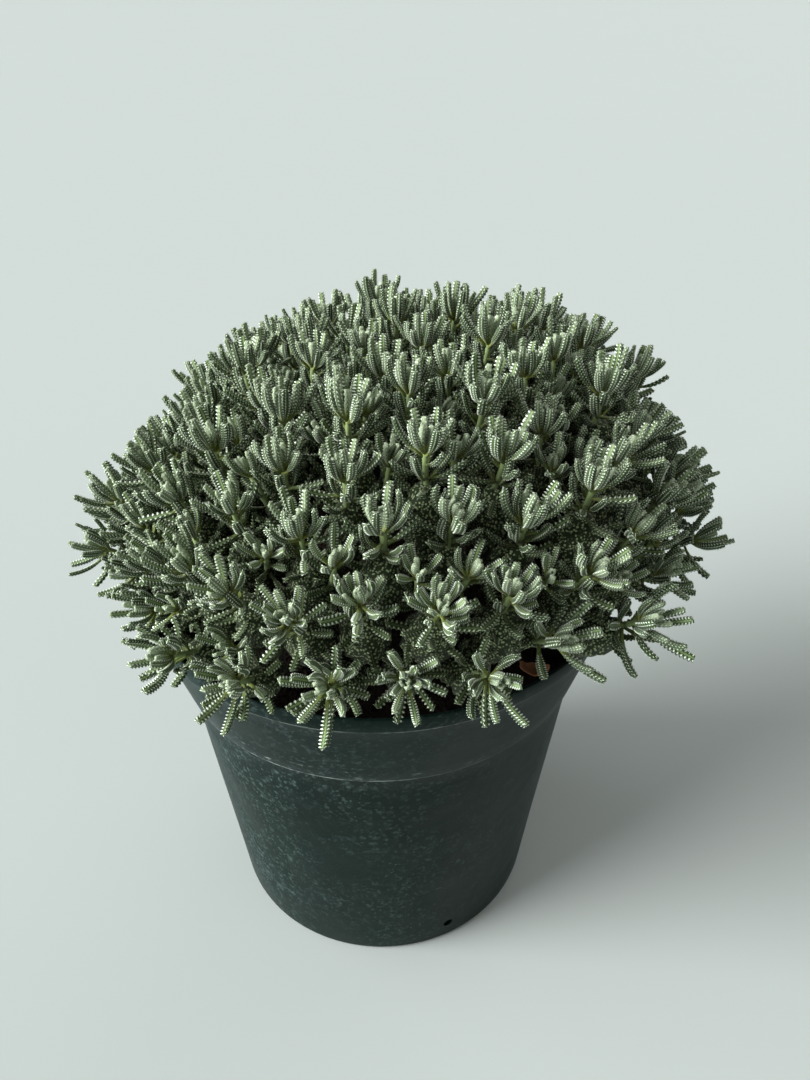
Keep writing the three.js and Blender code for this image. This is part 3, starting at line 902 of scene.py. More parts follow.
@dataclass
class Dome:
    """The rounded, clipped outline that the hearts of the shoots stand on, and their even spread."""

    radius: float = 107
    rise: float = 65
    centre_x: float = 3
    centre_z: float = 186
    tilt: float = 0.06
    lowest: float = 0
    stems: int = 40
    shoots_per_stem: int = 3
    fork_angle: float = 0.13
    relax_rounds: int = 160
    relax_reach: float = 28
    relax_step: float = 0.22
    family_reach: float = 21
    axis_splay: float = 54
    axis_curve: float = 2.3
    axis_wander: float = 0.14
    heart_sink: float = 5
    heart_rise: float = 6
    leaf_zone: float = 22
    swells: tuple[Swell, ...] = (
        Swell(0, 46, 0.12, 0.05),
        Swell(4, 20, 0.03, -0.07),
        Swell(-8, 4, 0.03, 0.09),
        Swell(172, 32, 0.16, -0.14),
        Swell(185, 2, 0.03, 0.05),
        Swell(-90, 0, 0.22, -0.12),
        Swell(212, 0, 0.05, -0.07),
    )

    def points(self, directions: np.ndarray) -> np.ndarray:
        """Finds where directions from the dome's centre meet it.

        Args:
            directions: Unit vectors as rows.

        Returns:
            The points as rows.
        """
        swell = np.ones(len(directions))
        for each in self.swells:
            towards = direction_to(math.radians(each.azimuth), math.radians(each.elevation))
            swell += each.gain * np.exp((directions @ towards - 1) / each.width)
        x = self.centre_x + self.radius * swell * directions[:, 0]
        y = self.radius * swell * directions[:, 1]
        z = self.centre_z + self.rise * swell * directions[:, 2] + self.tilt * x
        return np.stack([x, y, z], axis=1)

    def directions(self, points: np.ndarray) -> np.ndarray:
        """Finds the directions of points from the dome's centre, none of them below its edge.

        Args:
            points: The points as rows.

        Returns:
            Unit vectors as rows.
        """
        x = (points[:, 0] - self.centre_x) / self.radius
        y = points[:, 1] / self.radius
        z = (points[:, 2] - self.centre_z - self.tilt * points[:, 0]) / self.rise
        found = unit(np.stack([x, y, z], axis=1))
        found[:, 2] = np.maximum(found[:, 2], self.lowest)
        return unit(found)

    def spread(self, draws: Draws) -> np.ndarray:
        """Starts the shoots on a golden spiral, three to a stem, and eases them apart.

        Args:
            draws: The generator.

        Returns:
            Their directions from the dome's centre, stem by stem.
        """
        started = []
        for stem in range(self.stems):
            height = 1 - ((stem + 0.5) / self.stems) * (1 - self.lowest)
            middle = direction_to(stem * GOLDEN_ANGLE, math.asin(height))
            first = unit(np.cross(middle, direction_to(draws.between(0, TURN), 0)))
            for shoot in range(self.shoots_per_stem):
                side = turned_about(first, middle, shoot / self.shoots_per_stem * TURN)
                started.append(turned_about(middle, side, self.fork_angle))
        found = np.array(started)
        for _ in range(self.relax_rounds):
            places = self.points(found)
            apart = places[:, None] - places[None]
            distance = np.linalg.norm(apart, axis=2)
            near = (distance <= self.relax_reach) & (distance > 0)
            share = np.where(near, (self.relax_reach - distance) / np.where(near, distance, 1), 0)
            push = (apart * share[:, :, None]).sum(axis=1)
            middles = places.reshape(self.stems, self.shoots_per_stem, 3).mean(axis=1)
            to_family = np.repeat(middles, self.shoots_per_stem, axis=0) - places
            strain = np.linalg.norm(to_family, axis=1, keepdims=True) - self.family_reach
            push += to_family * np.maximum(strain, 0) / self.family_reach
            found = self.directions(places + push * self.relax_step)
        return found

    def splay(self, direction: np.ndarray) -> float:
        """Tells how far a shoot leans out of the upright, where it stands in a direction."""
        slope = math.acos(direction[2]) / (TURN / 4)
        return math.radians(self.axis_splay) * slope ** self.axis_curve

    def middle(self) -> np.ndarray:
        """Gives the dome's centre."""
        return np.array([self.centre_x, 0, self.centre_z])

    def shoots(self, draws: Draws) -> list[Shoot]:
        """Grows every shoot, stem by stem.

        Args:
            draws: The generator.

        Returns:
            The shoots.
        """
        directions = self.spread(draws)
        centre = self.middle()
        grown = []
        for direction, place in zip(directions, self.points(directions)):
            wander = self.axis_wander
            polar = self.splay(direction) + draws.between(-wander, wander)
            azimuth = math.atan2(direction[1], direction[0]) + draws.between(-wander, wander)
            axis = direction_to(azimuth, math.pi / 2 - polar)
            heart = place + unit(place - centre) * draws.between(-self.heart_sink, self.heart_rise)
            grown.append(Shoot(heart, axis, heart - axis * self.leaf_zone))
        return grown


@dataclass(frozen=True)
class LeafHabit:
    """How one whorl of leaves grows. Angles are degrees away from the shoot's own axis."""

    length: float
    root_angle: float
    tip_angle: float
    stations: tuple[float, ...]
    radii: tuple[float, ...]


@dataclass(frozen=True)
class LeafLay:
    """A leaf as it lies: where it is rooted, which way it leans, and how it curves. In radians."""

    root: np.ndarray
    away: np.ndarray
    length: float
    root_angle: float
    tip_angle: float


@dataclass
class Room:
    """Keeps each leaf in the space of its own shoot and clear of the pot."""

    shoots: list[Shoot]
    rim_radius: float
    rim_z: float
    lip_inside: float
    leaf_zone: float
    lowest_tip_z: float = 170
    length_spread: float = 0.14
    angle_spread: float = 12
    tighten: float = 0.9
    tighten_steps: int = 14
    shortest: float = 0.7
    steepest_root: float = 42
    least_pot_gap: float = 0.5

    def __post_init__(self) -> None:
        """Stacks the shoots' hearts and axes."""
        self.hearts = np.array([shoot.heart for shoot in self.shoots])
        self.axes = np.array([shoot.axis for shoot in self.shoots])

    def distances(self, points: np.ndarray) -> np.ndarray:
        """Gives how far points are from the shoots' axes.

        Args:
            points: The points as rows.

        Returns:
            A row for each point and a column for each shoot.
        """
        offset = points[:, None] - self.hearts[None]
        along = np.maximum((offset * self.axes[None]).sum(axis=2), -self.leaf_zone)
        return np.linalg.norm(offset - along[:, :, None] * self.axes[None], axis=2)

    def clear_of_pot(self, point: np.ndarray, radius: float, clearance: float) -> bool:
        """Tells whether a ball of leaf stands clear of the pot's lip.

        Args:
            point: The ball's middle.
            radius: Its radius.
            clearance: The least gap to the lip.

        Returns:
            True where it is above the lip, inside it or outside it.
        """
        if point[2] - radius < self.lowest_tip_z:
            return False
        if point[2] - radius > self.rim_z + clearance:
            return True
        from_axis = math.hypot(point[0], point[1])
        if from_axis - radius > self.rim_radius + clearance:
            return True
        return from_axis + radius < self.lip_inside - clearance

    def clear(self, centres: np.ndarray, radii: np.ndarray, own: int, clearance: float) -> bool:
        """Tells whether a leaf has room.

        Args:
            centres: Points along the leaf.
            radii: Its half width at each.
            own: The number of its own shoot.
            clearance: The least gap to a neighbour's space; below 0 it may reach into it.

        Returns:
            True where nothing is in its way.
        """
        pot_gap = max(clearance, self.least_pot_gap)
        if not all(self.clear_of_pot(centre, radius, pot_gap) for centre, radius in zip(centres, radii)):
            return False
        distance = self.distances(centres)
        mine = distance[:, own].copy()
        distance[:, own] = np.inf
        return bool((distance.min(axis=1) - mine > 2 * radii + clearance).all())

    def path(self, lay: LeafLay, axis: np.ndarray, stations: tuple[float, ...]) -> np.ndarray:
        """Gives points along a leaf.

        Args:
            lay: How the leaf lies.
            axis: Its shoot's axis.
            stations: Where the points are, as shares of its length.

        Returns:
            The points as rows.
        """
        place = lay.root
        before = 0.0
        found = []
        for station in stations:
            angle = blend(lay.root_angle, lay.tip_angle, (before + station) / 2)
            heading = axis * math.cos(angle) + lay.away * math.sin(angle)
            place = place + heading * (station - before) * lay.length
            found.append(place)
            before = station
        return np.array(found)

    def fit(self, lay: LeafLay, own: int, habit: LeafHabit, draws: Draws, clearance: float) -> LeafLay:
        """Finds the widest spread, and then the greatest length, at which a leaf has room.

        Args:
            lay: The leaf's root and the way it leans.
            own: The number of its shoot.
            habit: How it would grow.
            draws: The generator.
            clearance: The least gap to a neighbour's space.

        Returns:
            The leaf as it lies.
        """
        axis = self.shoots[own].axis
        length = habit.length * (1 + draws.between(-self.length_spread, self.length_spread))
        turn = math.radians(draws.between(-self.angle_spread, self.angle_spread))
        root_angle = math.radians(habit.root_angle) + turn
        tip_angle = math.radians(habit.tip_angle) + turn
        share = 1.0
        steepest = math.radians(self.steepest_root)
        for _ in range(self.tighten_steps):
            lay = LeafLay(lay.root, lay.away, length * share, root_angle, tip_angle)
            if self.clear(self.path(lay, axis, habit.stations), np.array(habit.radii), own, clearance):
                break
            root_angle = max(root_angle * self.tighten, steepest)
            tip_angle *= self.tighten ** 2
            share = max(share * (1 + self.tighten) / 2, self.shortest)
        return lay


class LeafSort(Enum):
    """The sorts of leaf on a shoot, from the dark old ones to the closed young ones."""

    OLDER = "older"
    LOW = "low"
    OUTER = "outer"
    MIDDLE = "middle"
    INNER = "inner"
    HEART = "heart"


@dataclass(frozen=True)
class LeafCast:
    """A straight leaf to be copied: a slim stalk that widens to a blunt club with rows of knobs.

    A ring has five corners: the channel's middle, one to each side of it, and two at the back. Along
    the leaf, knob and valley take turns. Front and back of a side have their knobs in the same ring,
    and its left and right side take turns.
    """

    CORNERS = 5
    STALK_RINGS = (0, 0.55)

    length: float
    half_width: float
    teeth: int
    stalk_share: float = 0.3
    stalk_width: float = 0.4
    widening: float = 0.42
    tip_share: float = 0.16
    tip_width: float = 0.8
    valley: float = 0.6
    channel: tuple[float, float] = (0, 0.2)
    front: tuple[float, float] = (0.72, 0.5)
    back: tuple[float, float] = (0.72, 0.46)

    def envelope(self, share: float) -> float:
        """Gives the leaf's half width.

        Args:
            share: Where, as a share of the length.

        Returns:
            The half width there.
        """
        widen = within_one((share - self.stalk_share * 0.5) / self.widening)
        body = blend(self.stalk_width, 1, widen * widen * (3 - 2 * widen))
        narrow = within_one((share - 1 + self.tip_share) / self.tip_share)
        return self.half_width * body * blend(1, self.tip_width, narrow ** 2)

    def rings(self) -> np.ndarray:
        """Lists the rings' shares of the length, from root to tip."""
        knobs = np.linspace(self.stalk_share, 1, self.teeth * 2)
        return np.concatenate([np.array(self.STALK_RINGS) * self.stalk_share, knobs])

    def shape(self, name: str) -> Shape:
        """Models the leaf ring by ring, presses its corners into knobs and valleys, and reads it.

        Args:
            name: A name for the mesh while it is made.

        Returns:
            The leaf along +Z with its upper side to +Y, with the marks that the finish reads.
        """
        rings = self.rings()
        piece = Bench.ring(self.CORNERS, self.envelope(0), 0, "NGON")
        piece.name = name
        for before, ring in zip(rings, rings[1:]):
            z = ring * self.length
            scale = self.envelope(ring) / self.envelope(before)
            Bench.extrude(z - before * self.length, scale, z)
        Bench.close()
        shape = Shape.of(piece.data)
        bpy.data.objects.remove(piece)
        points = shape.points
        shares = points[:, 2] / self.length
        number = np.abs(shares[:, None] - rings[None]).argmin(axis=1) - len(self.STALK_RINGS)
        radius = np.hypot(points[:, 0], points[:, 1])
        channel = np.abs(points[:, 0]) < radius * 0.1
        front = (points[:, 1] > 0) & ~channel
        back = ~channel & ~front
        side = np.sign(points[:, 0])
        for corner, (x, y) in ((channel, self.channel), (front, self.front), (back, self.back)):
            below = np.where(points[:, 1] > 0, 1, -1)
            points[corner, 0] = (side * radius * x)[corner]
            points[corner, 1] = (below * radius * y)[corner]
        turn = (number + (points[:, 0] < 0)) % 2
        sunk = (number >= 0) & (turn == 1) & ~channel
        fade = np.clip((number + 1) / 4, 0, 1)
        shape.marks["along"] = shares
        shape.marks["across"] = points[:, 0].copy()
        shape.marks["over"] = points[:, 1].copy()
        shape.marks["station"] = number / 2
        shape.marks["channel"] = np.where(channel, 1.0, 0.0)
        points[:, :2] *= np.where(sunk, 1 - (1 - self.valley) * fade, 1)[:, None]
        return shape


def laid_leaf(
    cast: Shape, axis: np.ndarray, lay: LeafLay, length: float, width: float, twist: float
) -> np.ndarray:
    """Bends a straight leaf along the arc that it lies on.

    Args:
        cast: The straight leaf.
        axis: The shoot's axis.
        lay: How the leaf lies.
        length: The straight leaf's length.
        width: What its width is multiplied by.
        twist: How far its tip is turned about itself.

    Returns:
        The bent leaf's points.
    """
    share = cast.points[:, 2:3] / length
    sweep = lay.tip_angle - lay.root_angle
    sweep = sweep if abs(sweep) > LEAST_SWEEP else LEAST_SWEEP
    angle = lay.root_angle + sweep * share
    forward = lay.length * (np.sin(angle) - math.sin(lay.root_angle)) / sweep
    outward = lay.length * (math.cos(lay.root_angle) - np.cos(angle)) / sweep
    side = np.cross(axis, lay.away)
    inner = np.sin(angle) * axis - np.cos(angle) * lay.away
    turn = twist * share
    x = cast.points[:, 0:1] * width
    y = cast.points[:, 1:2] * width
    across = x * np.cos(turn) - y * np.sin(turn)
    over = x * np.sin(turn) + y * np.cos(turn)
    return lay.root + forward * axis + outward * lay.away + across * side + over * inner


@dataclass
class NurseryPot:
    """The thin round pot: tapered body, flared collar above a ring line, thin lip, drain holes."""

    sides: int = 160
    wall: float = 1.8
    foot_rounding: float = 2.5
    shoulder_radius: float = 81.4
    shoulder_z: float = 126
    collar_step: float = 2
    lip_low_radius: float = 92.8
    lip_low_z: float = 160.6
    lip_step: float = 0.7
    base_thickness: float = 2.2
    base_recess: float = 1.5
    pad_radius: float = 24
    ring_radius: float = 52
    floor_holes: int = 4
    floor_hole_radius: float = 5
    floor_hole_circle: float = 38
    side_holes: int = 4
    side_hole_radius: float = 2.2
    side_hole_z: float = 11
    side_hole_first: float = -64
    foot_radius: float = 68.5
    body_rings: int = 14
    collar_rings: int = 6
    arc_points: int = 5
    drill_depth: float = 14
    smooth_angle: float = 40

    def __post_init__(self) -> None:
        """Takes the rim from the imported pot."""
        low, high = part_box("pot")
        self.rim_radius = high.x / MM
        self.rim_z = high.z / MM

    def fillet(
        self, centre: ProfilePoint, radius: float, start: float, end: float
    ) -> list[ProfilePoint]:
        """Gives points on an arc of the profile, by its angles in degrees."""
        angles = np.radians(np.linspace(start, end, self.arc_points))
        return [(centre[0] + radius * math.cos(a), centre[1] + radius * math.sin(a)) for a in angles]

    def profile(self) -> list[ProfilePoint]:
        """Draws the wall from the underside's pad, up the outside and down the inside.

        Returns:
            Radius and height of each of its points.
        """
        rounding = self.foot_rounding
        step_radius = self.shoulder_radius + self.collar_step
        lip_radius = self.lip_low_radius + self.lip_step
        half = self.wall / 2
        floor = self.base_recess + self.base_thickness
        body = [
            (blend(self.foot_radius, self.shoulder_radius, share), blend(rounding, self.shoulder_z, share))
            for share in np.linspace(0, 1, self.body_rings)[1:-1]
        ]
        collar_foot_z = self.shoulder_z + 1
        collar = [
            (blend(step_radius, self.lip_low_radius, share), blend(collar_foot_z, self.lip_low_z, share))
            for share in np.linspace(0, 1, self.collar_rings)[1:-1]
        ]
        inner_wall = [(radius - self.wall, z) for radius, z in reversed(body[2:])]
        return [
            (self.pad_radius, 0.0),
            (self.pad_radius + self.base_recess, self.base_recess),
            (self.ring_radius - self.base_recess, self.base_recess),
            (self.ring_radius, 0.0),
            *self.fillet((self.foot_radius - rounding, rounding), rounding, -90, 0),
            *body,
            (self.shoulder_radius - 0.05, self.shoulder_z - 0.5),
            (self.shoulder_radius + 0.3, self.shoulder_z),
            (step_radius - 0.4, self.shoulder_z + 0.35),
            (step_radius, self.shoulder_z + 0.9),
            *collar,
            (self.lip_low_radius, self.lip_low_z - 0.25),
            (self.lip_low_radius + 0.15, self.lip_low_z),
            (lip_radius - 0.1, self.lip_low_z + self.lip_step - 0.2),
            (lip_radius, self.lip_low_z + self.lip_step + 0.2),
            *self.fillet((self.rim_radius - half, self.rim_z - half), half, 0, 180),
            (self.lip_low_radius - self.wall, self.lip_low_z),
            (step_radius - self.wall, self.shoulder_z + self.wall),
            (self.shoulder_radius - self.wall, self.shoulder_z - 0.5),
            *inner_wall,
            (self.foot_radius - self.wall, floor + rounding),
            (self.foot_radius - self.wall - rounding, floor),
            (self.ring_radius, floor),
        ]

    def cut(self, pot: bpy.types.Object, cutter: bpy.types.Object) -> None:
        """Cuts one hole."""
        Bench.apply(pot, "BOOLEAN", object=cutter, operation="DIFFERENCE", solver="EXACT")
        bpy.data.objects.remove(cutter)

    def build(self, finish: bpy.types.Material) -> None:
        """Models the pot.

        Args:
            finish: Its material.
        """
        pot = Bench.turned(self.profile(), self.sides)
        for index in range(self.floor_holes):
            angle = index / self.floor_holes * TURN
            x = self.floor_hole_circle * math.cos(angle) * MM
            y = self.floor_hole_circle * math.sin(angle) * MM
            self.cut(pot, self.drill(self.floor_hole_radius, (x, y, 0), (0, 0, 0)))
        for index in range(self.side_holes):
            angle = math.radians(self.side_hole_first) + index / self.side_holes * TURN - math.pi / 2
            x = self.foot_radius * math.cos(angle) * MM
            y = self.foot_radius * math.sin(angle) * MM
            place = (x, y, self.side_hole_z * MM)
            self.cut(pot, self.drill(self.side_hole_radius, place, (0, math.pi / 2, angle)))
        self.dent(pot.data)
        Bench.take(pot)
        bpy.ops.object.shade_smooth_by_angle(angle=math.radians(self.smooth_angle))
        Bench.dress(pot, "nursery_pot", "pot_plastic", ["pot"], finish)

    def drill(self, radius: float, place: Triple, turn: Triple) -> bpy.types.Object:
        """Makes the cylinder that cuts a drain hole.

        Args:
            radius: Its radius in millimetres.
            place: Its middle in metres.
            turn: Its turn about X, Y and Z in radians.

        Returns:
            The cylinder.
        """
        Bench.put_down()
        bpy.ops.mesh.primitive_cylinder_add(
            vertices=24, radius=radius * MM, depth=self.drill_depth * MM, location=place, rotation=turn
        )
        return bpy.context.object

    def dent(self, mesh: bpy.types.Mesh) -> None:
        """Gives the thin wall the slight unevenness of a used pot.

        Args:
            mesh: The pot's mesh.
        """
        points = points_of(mesh)
        azimuth = np.arctan2(points[:, 1], points[:, 0])
        height = points[:, 2] / MM
        wave = np.sin(3 * azimuth + 0.7) * 0.25 + np.sin(7 * azimuth + height * 0.03) * 0.12
        share = np.clip(height / 40, 0, 1) * np.clip((self.rim_z - height) / 60 + 0.25, 0, 1)
        radius = np.hypot(points[:, 0], points[:, 1])
        scale = 1 + wave * share * MM / np.maximum(radius, 1e-4)
        points[:, :2] *= scale[:, None]
        move_points(mesh, points)


@dataclass
class SoilFill:
    """The potting mix: an uneven crumbly top with loose bits of bark on it."""

    sides: int = 96
    gap: float = 0.65
    edge_drop: float = 3
    top_rings: int = 24
    top_swing: float = 1.6
    top_crumble: float = 0.5
    crumbs: int = 700
    crumb_size: tuple[float, float] = (0.5, 1.5)
    seed: int = 7
    smooth_angle: float = 50

    def top(self, x: np.ndarray, y: np.ndarray) -> np.ndarray:
        """Gives the height of the uneven top.

        Args:
            x: Places along X in millimetres.
            y: Places along Y in millimetres.

        Returns:
            The heights there, about a level of 0.
        """
        broad = np.sin(x / 10) * np.cos(y / 10)
        small = np.sin((x - y) / 4.8)
        rough = np.sin(x * 0.9 + np.sin(y * 0.7) * 2) * np.cos(y * 1.1 + np.sin(x * 0.8) * 2)
        return self.top_swing * blend(broad, small, 0.3) + self.top_crumble * rough

    def build(self, pot: NurseryPot, finish: bpy.types.Material) -> None:
        """Models the soil.

        Args:
            pot: The pot it fills.
            finish: Its material.
        """
        low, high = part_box("soil")
        level = high.z / MM - self.top_swing
        edge_z = level - self.edge_drop
        share = (edge_z - pot.shoulder_z) / (pot.lip_low_z - pot.shoulder_z)
        inside = pot.wall + self.gap
        edge = blend(pot.shoulder_radius + pot.collar_step, pot.lip_low_radius, share) - inside
        floor = low.z / MM
        profile = [
            (pot.foot_radius - inside - pot.foot_rounding, floor),
            (pot.shoulder_radius - inside - 0.3, pot.shoulder_z),
            (edge, edge_z),
            *[(edge * part, level) for part in np.linspace(0.96, 0.04, self.top_rings)],
        ]
        soil = Bench.turned(profile, self.sides)
        points = points_of(soil.data) / MM
        above = points[:, 2] > edge_z + 0.5
        points[above, 2] += self.top(points[above, 0], points[above, 1])
        move_points(soil.data, points * MM)
        self.scatter(soil, edge, level)
        Bench.take(soil)
        bpy.ops.object.shade_smooth_by_angle(angle=math.radians(self.smooth_angle))
        Bench.dress(soil, "soil_fill", "potting_soil", ["soil"], finish)

    def scatter(self, soil: bpy.types.Object, edge: float, level: float) -> None:
        """Joins loose crumbs and bits of bark to the soil's top.

        Args:
            soil: The soil.
            edge: How far out they lie.
            level: The height of the top.
        """
        Bench.put_down()
        bpy.ops.mesh.primitive_ico_sphere_add(subdivisions=1, radius=1)
        seed_crumb = bpy.context.object
        cast = Shape.of(seed_crumb.data)
        bpy.data.objects.remove(seed_crumb)
        chance = np.random.default_rng(self.seed)
        heap = Gathering()
        for _ in range(self.crumbs):
            reach = edge * math.sqrt(chance.uniform(0, 0.97))
            azimuth = chance.uniform(0, TURN)
            x, y = reach * math.cos(azimuth), reach * math.sin(azimuth)
            size = chance.uniform(*self.crumb_size, 3) * chance.uniform(0.6, 1.4)
            points = cast.points * size * (1 + 0.25 * chance.uniform(-1, 1, (len(cast.points), 1)))
            turn = chance.uniform(0, TURN)
            cosine, sine = math.cos(turn), math.sin(turn)
            spin = np.array([[cosine, -sine, 0], [sine, cosine, 0], [0, 0, 1]])
            z = level + float(self.top(np.array(x), np.array(y))) + size[2] * 0.3
            heap.add(cast.moved(points @ spin.T + [x, y, z]))
        crumbs = heap.piece("crumbs")
        Bench.take(soil)
        crumbs.select_set(True)
        bpy.ops.object.join()


@dataclass
class WoodyBase:
    """The old wood in the heart of the bush: a short trunk and pruned branches with knuckles."""

    trunk_radius: float = 8
    trunk_taper: float = 0.8
    trunk_foot_z: float = 112
    trunk_top_z: float = 164
    branches: int = 11
    first_drop: float = 3
    last_drop: float = 11
    branch_foot_radius: float = 3.6
    branch_tip_radius: float = 2.6
    knuckle_radius: float = 5
    spread: float = 50
    rise: float = 44
    centre_z: float = 165
    lowest: float = 0.1
    trunk_rings: int = 14
    trunk_sides: int = 20
    trunk_shrink: float = 0.97
    trunk_gnarl: float = 0.5
    branch_rings: int = 16
    branch_sides: int = 14
    branch_shrink: float = 0.92
    branch_gnarl: float = 0.35
    knuckle_reach: float = 3.4
    knuckle_shares: tuple[float, ...] = (0.72, 0.9, 0.88, 0.5)

    def knuckles(self) -> np.ndarray:
        """Spreads the branches' knuckles on a golden spiral.

        Returns:
            The middle of each knuckle, as rows.
        """
        places = []
        for index in range(self.branches):
            height = 1 - ((index + 0.5) / self.branches) * (1 - self.lowest)
            flat = math.sqrt(1 - height * height)
            azimuth = index * GOLDEN_ANGLE
            x = self.spread * flat * math.cos(azimuth)
            y = self.spread * flat * math.sin(azimuth)
            places.append((x, y, self.centre_z + self.rise * height))
        return np.array(places)

    def build(self, finish: bpy.types.Material) -> None:
        """Models the wood.

        Args:
            finish: Its material.
        """
        wood = Gathering()
        share = np.linspace(0, 1, self.trunk_rings)
        foot = np.array([0, 0, self.trunk_foot_z])
        top = np.array([0, 0, self.trunk_top_z])
        path = foot + share[:, None] * (top - foot)
        radii = self.trunk_radius * (1 - share * (1 - self.trunk_taper)) * self.trunk_shrink
        wood.add(self.gnarled(swept(path, radii, self.trunk_sides), self.trunk_gnarl))
        share = np.linspace(0, 1, self.branch_rings)
        radii = blend(self.branch_foot_radius, self.branch_tip_radius, share) * self.branch_shrink
        radii[-len(self.knuckle_shares):] = self.knuckle_radius * np.array(self.knuckle_shares)
        for index, knuckle in enumerate(self.knuckles()):
            drop = blend(self.first_drop, self.last_drop, index / self.branches)
            root = np.array([0, 0, self.trunk_top_z - drop])
            end = knuckle + unit(knuckle - root) * self.knuckle_reach
            path = root + share[:, None] * (end - root)
            wood.add(self.gnarled(swept(path, radii, self.branch_sides), self.branch_gnarl))
        piece = wood.piece("wood")
        Bench.dress(piece, "old_wood", "bark", ["woody_base"], finish)

    def gnarled(self, shape: Shape, depth: float) -> Shape:
        """Makes a smooth limb knobbly.

        Args:
            shape: The limb.
            depth: How far its surface moves.

        Returns:
            The knobbly limb.
        """
        p = shape.points
        push = np.sin(p[:, 0] * 1.1 + p[:, 2] * 0.35) * np.sin(p[:, 1] * 1.3 - p[:, 2] * 0.27)
        return shape.moved(p + depth * push[:, None] * np.sin(p * 0.9 + 1.1))


@dataclass(frozen=True)
class LeafKind:
    """One sort of leaf: how it grows, the straight leaf it is copied from, its wool and its age."""

    habit: LeafHabit
    cast: LeafCast
    wool: float = 0.0
    age: float = 0.0


@dataclass(frozen=True)
class Whorl:
    """A ring of leaves of one sort: their first azimuth in degrees, and where they are rooted."""

    sort: LeafSort
    first: float
    height: float
    from_axis: float
    sunk: float


@dataclass(frozen=True)
class CoreHabit:
    """The dense mass of the oldest leaves round a shoot's stem. Top and foot are depths below its heart."""

    top: float = 9
    foot: float = 36
    radius: float = 8.2
    rings: int = 11
    sides: int = 11
    knob: float = 0.2
    unrest: float = 0.1
    corner_radius: float = 0.4
    pot_gap: float = 0.6
    draw_in: float = 0.15
    draw_in_steps: int = 12


@dataclass(frozen=True)
class GapHabit:
    """The small side shoots: how wide a gap they grow into, how deep they sit and how they stray."""

    places: int = 3000
    sink: float = 6
    width: float = 11.8
    stray: float = 2.5
    lean: float = 0.3
    vigour: tuple[float, float] = (0.7, 0.95)


@dataclass(frozen=True)
class OpenSight:
    """The line along which the dry leaf shows between the leaves, in degrees, and how wide it is."""

    azimuth: float = -100
    elevation: float = 42
    radius: float = 7


